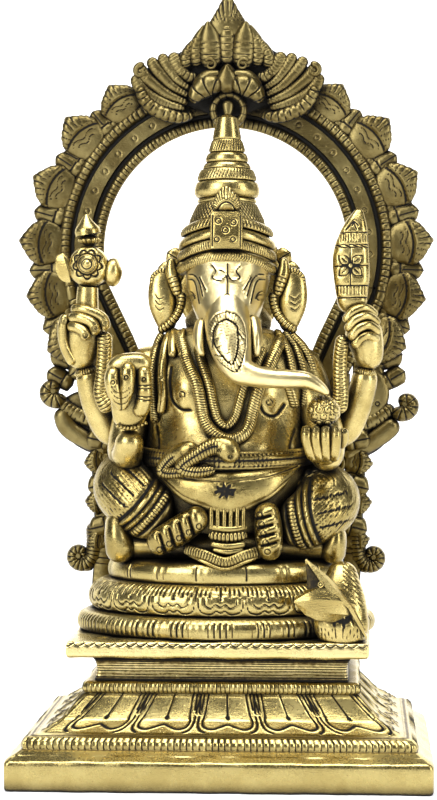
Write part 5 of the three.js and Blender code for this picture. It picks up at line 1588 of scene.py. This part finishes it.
# the axe: a stub of shaft, a bead collar, a petalled block with a round boss, the blade, knob and cone tip
def buildAxe():
    y = 0.2
    parts = [smooth([(-45.4, y, 148, 3.6, 3.2), (-45.6, y, 152, 3.7, 3.2), (-45.4, y, 157, 3.4, 3.0)], 50, 40,
        0.1, endRound=False)]
    parts.append(cuff((-45.3, y, 152.0), (-45.3, y, 155.0), 5.0, 4.2, 50, True))
    parts.append(cuff((-45.1, y, 155.2), (-45.1, y, 157.6), 4.6, 3.9, 1.1))
    block, phi, _ = limb([(-45.1, y, 156.8, 4.8, 4.2), (-45.0, y, 160, 6.0, 4.6), (-45.0, y, 164.4, 6.4, 4.6),
        (-45.0, y, 168.4, 5.6, 4.4), (-44.9, y, 170.8, 4.6, 4.0)], 110, 100, power=0.75)
    x, z = block[..., 0] + 45.1, block[..., 2] - 164.5
    far, angle = np.hypot(x, z), np.arctan2(x, z)
    petal = np.abs(np.sin(angle * 4.5))
    front = faceOn(phi, 2)
    out = (near(far - 3.9, 1.1 * petal, 0.4) + 0.7 * within((far - 3.0) / 0.3) * (far < 3.8)) * front
    parts.append((raised(block, -0.5 * out), within(out)))
    disc = curveThrough([(-45.1, y - 3.4, 164.5), (-45.1, y - 5.0, 164.5), (-45.1, y - 6.4, 164.5)], 60)
    t = np.linspace(0, 1, 60)
    radius = 3.35 * np.interp(t, [0, 0.3, 0.5, 0.62, 0.74, 0.86, 1], [1, 1, 0.9, 0.72, 0.62, 0.36, 0.2])
    boss, phi, _ = tube(disc, radius, radius, 60, (0, 0, 1), endRound=False)
    steps = near(t, 0.56, 0.035) + near(t, 0.8, 0.04)
    parts.append((boss, (0.9 * steps)[:, None] + 0 * phi[None, :]))
    parts.append(smooth([(-50.2, y, 164, 4.2, 2.0), (-52.6, y, 163.4, 6.0, 1.3), (-54.6, y, 162.6, 7.2, 0.7),
        (-55.8, y, 162.2, 7.4, 0.35)], 60, 50))
    parts.append(smooth([(-40.6, y, 162.2, 2.4, 2.2), (-38.2, y, 162.0, 4.4, 3.4),
        (-35.6, y, 161.8, 4.6, 3.4), (-34.0, y, 161.8, 3.0, 2.6)], 60, 50))
    parts.append(cuff((-44.8, y, 170.4), (-44.8, y, 174.4), 5.0, 4.3, 0.9))
    parts.append(smooth([(-45.2, y, 174.2, 4.2, 3.8), (-45.6, y, 176.2, 4.0, 3.5),
        (-45.8, y, 178.6, 2.2, 2.0), (-45.8, y, 180.8, 0.5, 0.5)], 60, 48, endRound=False))
    figureCasting("axe_chased", parts, "axe")


# the lotus tablet: a tall bud flattened at the front, cut with a four-petalled flower and cross lines
def buildBud():
    grid, phi, _ = limb([(41.8, 0, 148, 4.6, 3.4), (41.2, 0, 153, 5.0, 3.6), (41.0, 0, 160, 5.9, 3.8),
        (40.8, 0, 167, 6.0, 3.8), (41.6, 0, 173, 5.0, 3.4), (42.6, 0.4, 178, 3.4, 2.8),
        (43.6, 0.8, 182.6, 1.0, 1.2)], 150, 110, power=0.72)
    flat = grid[..., [0, 2]]
    front = faceOn(phi, 2)
    c = np.array([40.6, 164.0])

    def petal(degrees, length=4.2, wide=1.5):
        a = math.radians(degrees)
        along, off = np.array([math.cos(a), math.sin(a)]), np.array([-math.sin(a), math.cos(a)])
        t = np.linspace(0, 1, 12)
        bulge = wide * np.sin(np.pi * t ** 0.8)
        one = c + np.outer(0.9 + length * t, along)
        return [one + bulge[:, None] * off, one - bulge[:, None] * off, one[2:8]]

    lines = sum((petal(d) for d in (40, 140, 222, 318)), [])
    lines += [ring(c, 0.85), np.array([(35.4, 163.6), (39.2, 163.8)]), np.array([(42, 163.8), (46.4, 164.0)]),
        np.array([(40.5, 165), (40.5, 169.6)]), np.array([(40.6, 157.6), (40.6, 162.8)])]
    lines += [np.array([(35.2, z), (46.6, z + 0.2)]) for z in (157.4, 153.4, 169.8, 170.6, 174.6)]
    lines += [bent([(40.8 + s * 1.8, 175.6), (41.6, 178.4), (42.2 + s, 177)], 8) for s in (-1, 1)]
    cut = nearLines(flat, lines, 0.27) * front
    teeth = cuts(flat[..., 0], 1.15, 0.2) * (flat[..., 1] > 154.6) * (flat[..., 1] < 157.2) * front
    teeth = np.maximum(teeth, cuts(flat[..., 0], 0.9, 0.18) * (flat[..., 1] > 171.6)
        * (flat[..., 1] < 174.2) * front)
    edge = (np.abs(np.cos(phi)) > 0.97)[None, :] * 0.1
    figureCasting("lotus_bud_cut",
        [(raised(grid, -0.3 * cut - 0.25 * teeth), within(cut + 0.85 * teeth + edge))], "lotus_bud")


# the mouse at the seat's corner: a broad scored haunch, a faceted snout and one tall pointed ear
def buildMouse():
    def faceted(stations, sides, facing=(0, -1, 0)):
        q = np.asarray(stations, float)
        return tube(q[:, :3], q[:, 3], q[:, 4], sides, facing, endRound=False)[0], 0.0

    body, phi, _ = limb([(38.0, -31.5, 42.6, 9.4, 6.0), (38.0, -31.6, 47, 9.2, 6.2),
        (38.0, -30.6, 53, 8.4, 6.4), (37.8, -29.4, 60, 7.4, 6.2), (38.2, -27.4, 66.0, 5.0, 4.6),
        (38.4, -25, 69.4, 3.4, 3)], 110, 100, power=0.85)
    flat = body[..., [0, 2]]
    front = faceOn(phi, 2)
    bib = cuts(flat[..., 0], 1.15, 0.17) * within((flat[..., 1] - 46.2) / 0.4) * within((50.2 - flat[..., 1])
        / 0.6) * front
    back = cuts(flat[..., 0] * 0.62 + flat[..., 1] * 0.78, 1.1,
        0.16) * (flat[..., 1] > 56.5) * (flat[..., 0] > 38.4) * front
    hem = near(flat[..., 1], 45.0, 0.26) * front
    # a dark ragged patch on the body just below the snout
    ragged = 0.8 * np.sin(flat[..., 0] * 1.9) + 0.5 * np.sin(flat[..., 0] * 4.3 + 1)
    darkPatch = within(1.4 * np.exp(-(((flat[..., 0] - 38.0) / 4.6) ** 2) - ((flat[..., 1] - 52.6 - ragged) / 1.8)
        ** 2)) * front
    height = -0.28 * bib - 0.24 * back - 0.3 * hem - 0.5 * darkPatch
    parts = [(raised(body, height), within(0.85 * bib + 0.75 * back + 0.7 * hem + 0.85 * darkPatch))]
    # the bright ridge from the haunch to the ear's tip, the ear's dark hollow, the cheek and the snout
    parts.append(faceted([(45.6, -33.4, 47.4, 0.5, 2.6), (43.6, -34.8, 51.4, 1.0, 2.8),
        (40.4, -35.8, 57.0, 1.1, 2.6), (36.6, -36.4, 60.6, 1.8, 2.2), (32.6, -36.4, 64.8, 1.9, 1.8),
        (26.8, -35.4, 71.4, 0.25, 0.3)], 6))
    parts.append(faceted([(33.4, -31.6, 57.0, 4.6, 3.0), (31.4, -33.0, 62.4, 4.0, 2.6),
        (28.6, -34.4, 67.0, 1.9, 1.5), (26.8, -35.0, 71.2, 0.2, 0.25)], 5))
    parts.append((faceted([(32.4, -37.0, 57.4, 4.6, 0.7), (30.0, -36.9, 63.4, 2.9, 0.6),
        (28.2, -36.2, 67.2, 1.2, 0.5), (27.1, -35.6, 69.8, 0.3, 0.3)], 8)[0], 0.6))
    parts.append(faceted([(40.0, -32.0, 56.4, 5.0, 4.6), (35.0, -35.2, 57.6, 6.2, 4.4),
        (30.0, -36.6, 58.0, 5.8, 3.8), (26.8, -37.6, 58.0, 3.9, 2.4), (23.2, -38.0, 58.4, 0.3, 0.35)], 9,
        (0.1, -0.96, 0.1)))
    parts += studs([(31.6, -38.0, 63.8)], [(-0.3, -1, 0.1)], [1.0], ringDot, 16)
    figureCasting("mouse_chased", parts, "mouse", smoothAngle=20)


buildAxe()
buildBud()
buildMouse()
print("held things and mouse chased")


studio = {"distance": 0.800, "height": 0.145, "azimuth": 3.0, "pitch": 1.78, "lens": 110.07, "shift": -0.0094,
    "air": 0.10, "floorGlow": (0.30, 1.1), "backdropGlow": (1.1, 1.1),
    "softboxes": [("softbox_left", (-0.60, -0.85, 0.55), (0.5, 0.7), 7.5),
    ("softbox_right", (0.85, -0.55, 0.40), (0.25, 0.7), 3.6),
    ("softbox_top", (0.0, -0.30, 1.0), (0.7, 0.45), 8.0), ("softbox_back", (0.2, 0.8, 0.7), (1.2, 0.5), 2.5)]}


# plain pale paper with faint fibres; its glow rises from near the object to the far edge, in metres away
def paper(name, colour, rough, nearGlow, farGlow):
    m = Maker(name)
    where = m.node("ShaderNodeTexCoord", out=3)
    fibre = m.node("ShaderNodeTexNoise", sockets={"Vector": where, "Scale": 60.0, "Detail": 3.0})
    low = tuple(c * 0.985 for c in colour[:3]) + (1,)
    away = m.node("ShaderNodeVectorMath", {"operation": "LENGTH"}, {0: where}, out=1)
    glow = m.blend(m.ramp(away, 0.4, 2.4), (nearGlow, nearGlow, nearGlow, 1), (farGlow, farGlow, farGlow, 1))
    m.feed(m.shader, {"Base Color": m.blend(fibre, low, colour), "Roughness": rough, "Emission Color": glow,
        "Emission Strength": 1.0})
    return m.material


# floor, backdrop, soft lights and a faint even light all round
def buildStudio():
    def sheet(name, corners, glow):
        mesh = bpy.data.meshes.new(name)
        mesh.from_pydata(corners, [], [(0, 1, 2, 3)])
        made = bpy.data.objects.new(name, mesh)
        bpy.context.scene.collection.objects.link(made)
        mesh.materials.append(paper(name + "Paper", (0.93, 0.93, 0.93, 1), 0.8, *glow))

    sheet("paper_floor", [(-8, -6, 0), (8, -6, 0), (8, 4.2, 0), (-8, 4.2, 0)], studio["floorGlow"])
    sheet("paper_backdrop", [(-8, 4.2, -0.1), (8, 4.2, -0.1), (8, 4.2, 6.8), (-8, 4.2, 6.8)],
        studio["backdropGlow"])

    def softbox(name, place, target, size, power):
        lamp = bpy.data.lights.new(name, "AREA")
        lamp.shape = "RECTANGLE"
        lamp.size, lamp.size_y = size
        lamp.energy = power
        made = bpy.data.objects.new(name, lamp)
        made.location = place
        made.rotation_euler = (Vector(target) - Vector(place)).to_track_quat("-Z", "Y").to_euler()
        bpy.context.scene.collection.objects.link(made)

    middle = (0, 0, 0.12)
    for name, place, size, power in studio["softboxes"]:
        softbox(name, place, middle, size, power)
    world = bpy.data.worlds.new("studio_air")
    world.use_nodes = True
    world.node_tree.nodes["Background"].inputs["Color"].default_value = (1, 1, 1, 1)
    world.node_tree.nodes["Background"].inputs["Strength"].default_value = studio["air"]
    bpy.context.scene.world = world


# the camera, turned round the upright axis and tipped down a little
def buildCamera():
    eye = bpy.data.cameras.new("camera")
    eye.lens = studio["lens"]
    eye.sensor_width = 36
    eye.shift_x = studio["shift"]
    eye.clip_start, eye.clip_end = 0.01, 20
    made = bpy.data.objects.new("camera", eye)
    a = math.radians(studio["azimuth"])
    made.location = (studio["distance"] * math.sin(a), -studio["distance"] * math.cos(a), studio["height"])
    made.rotation_euler = (math.radians(90 - studio["pitch"]), 0, a)
    bpy.context.scene.collection.objects.link(made)
    bpy.context.scene.camera = made


buildStudio()
buildCamera()
bpy.context.scene.view_settings.view_transform = "Standard"
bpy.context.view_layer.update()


print("studio set")
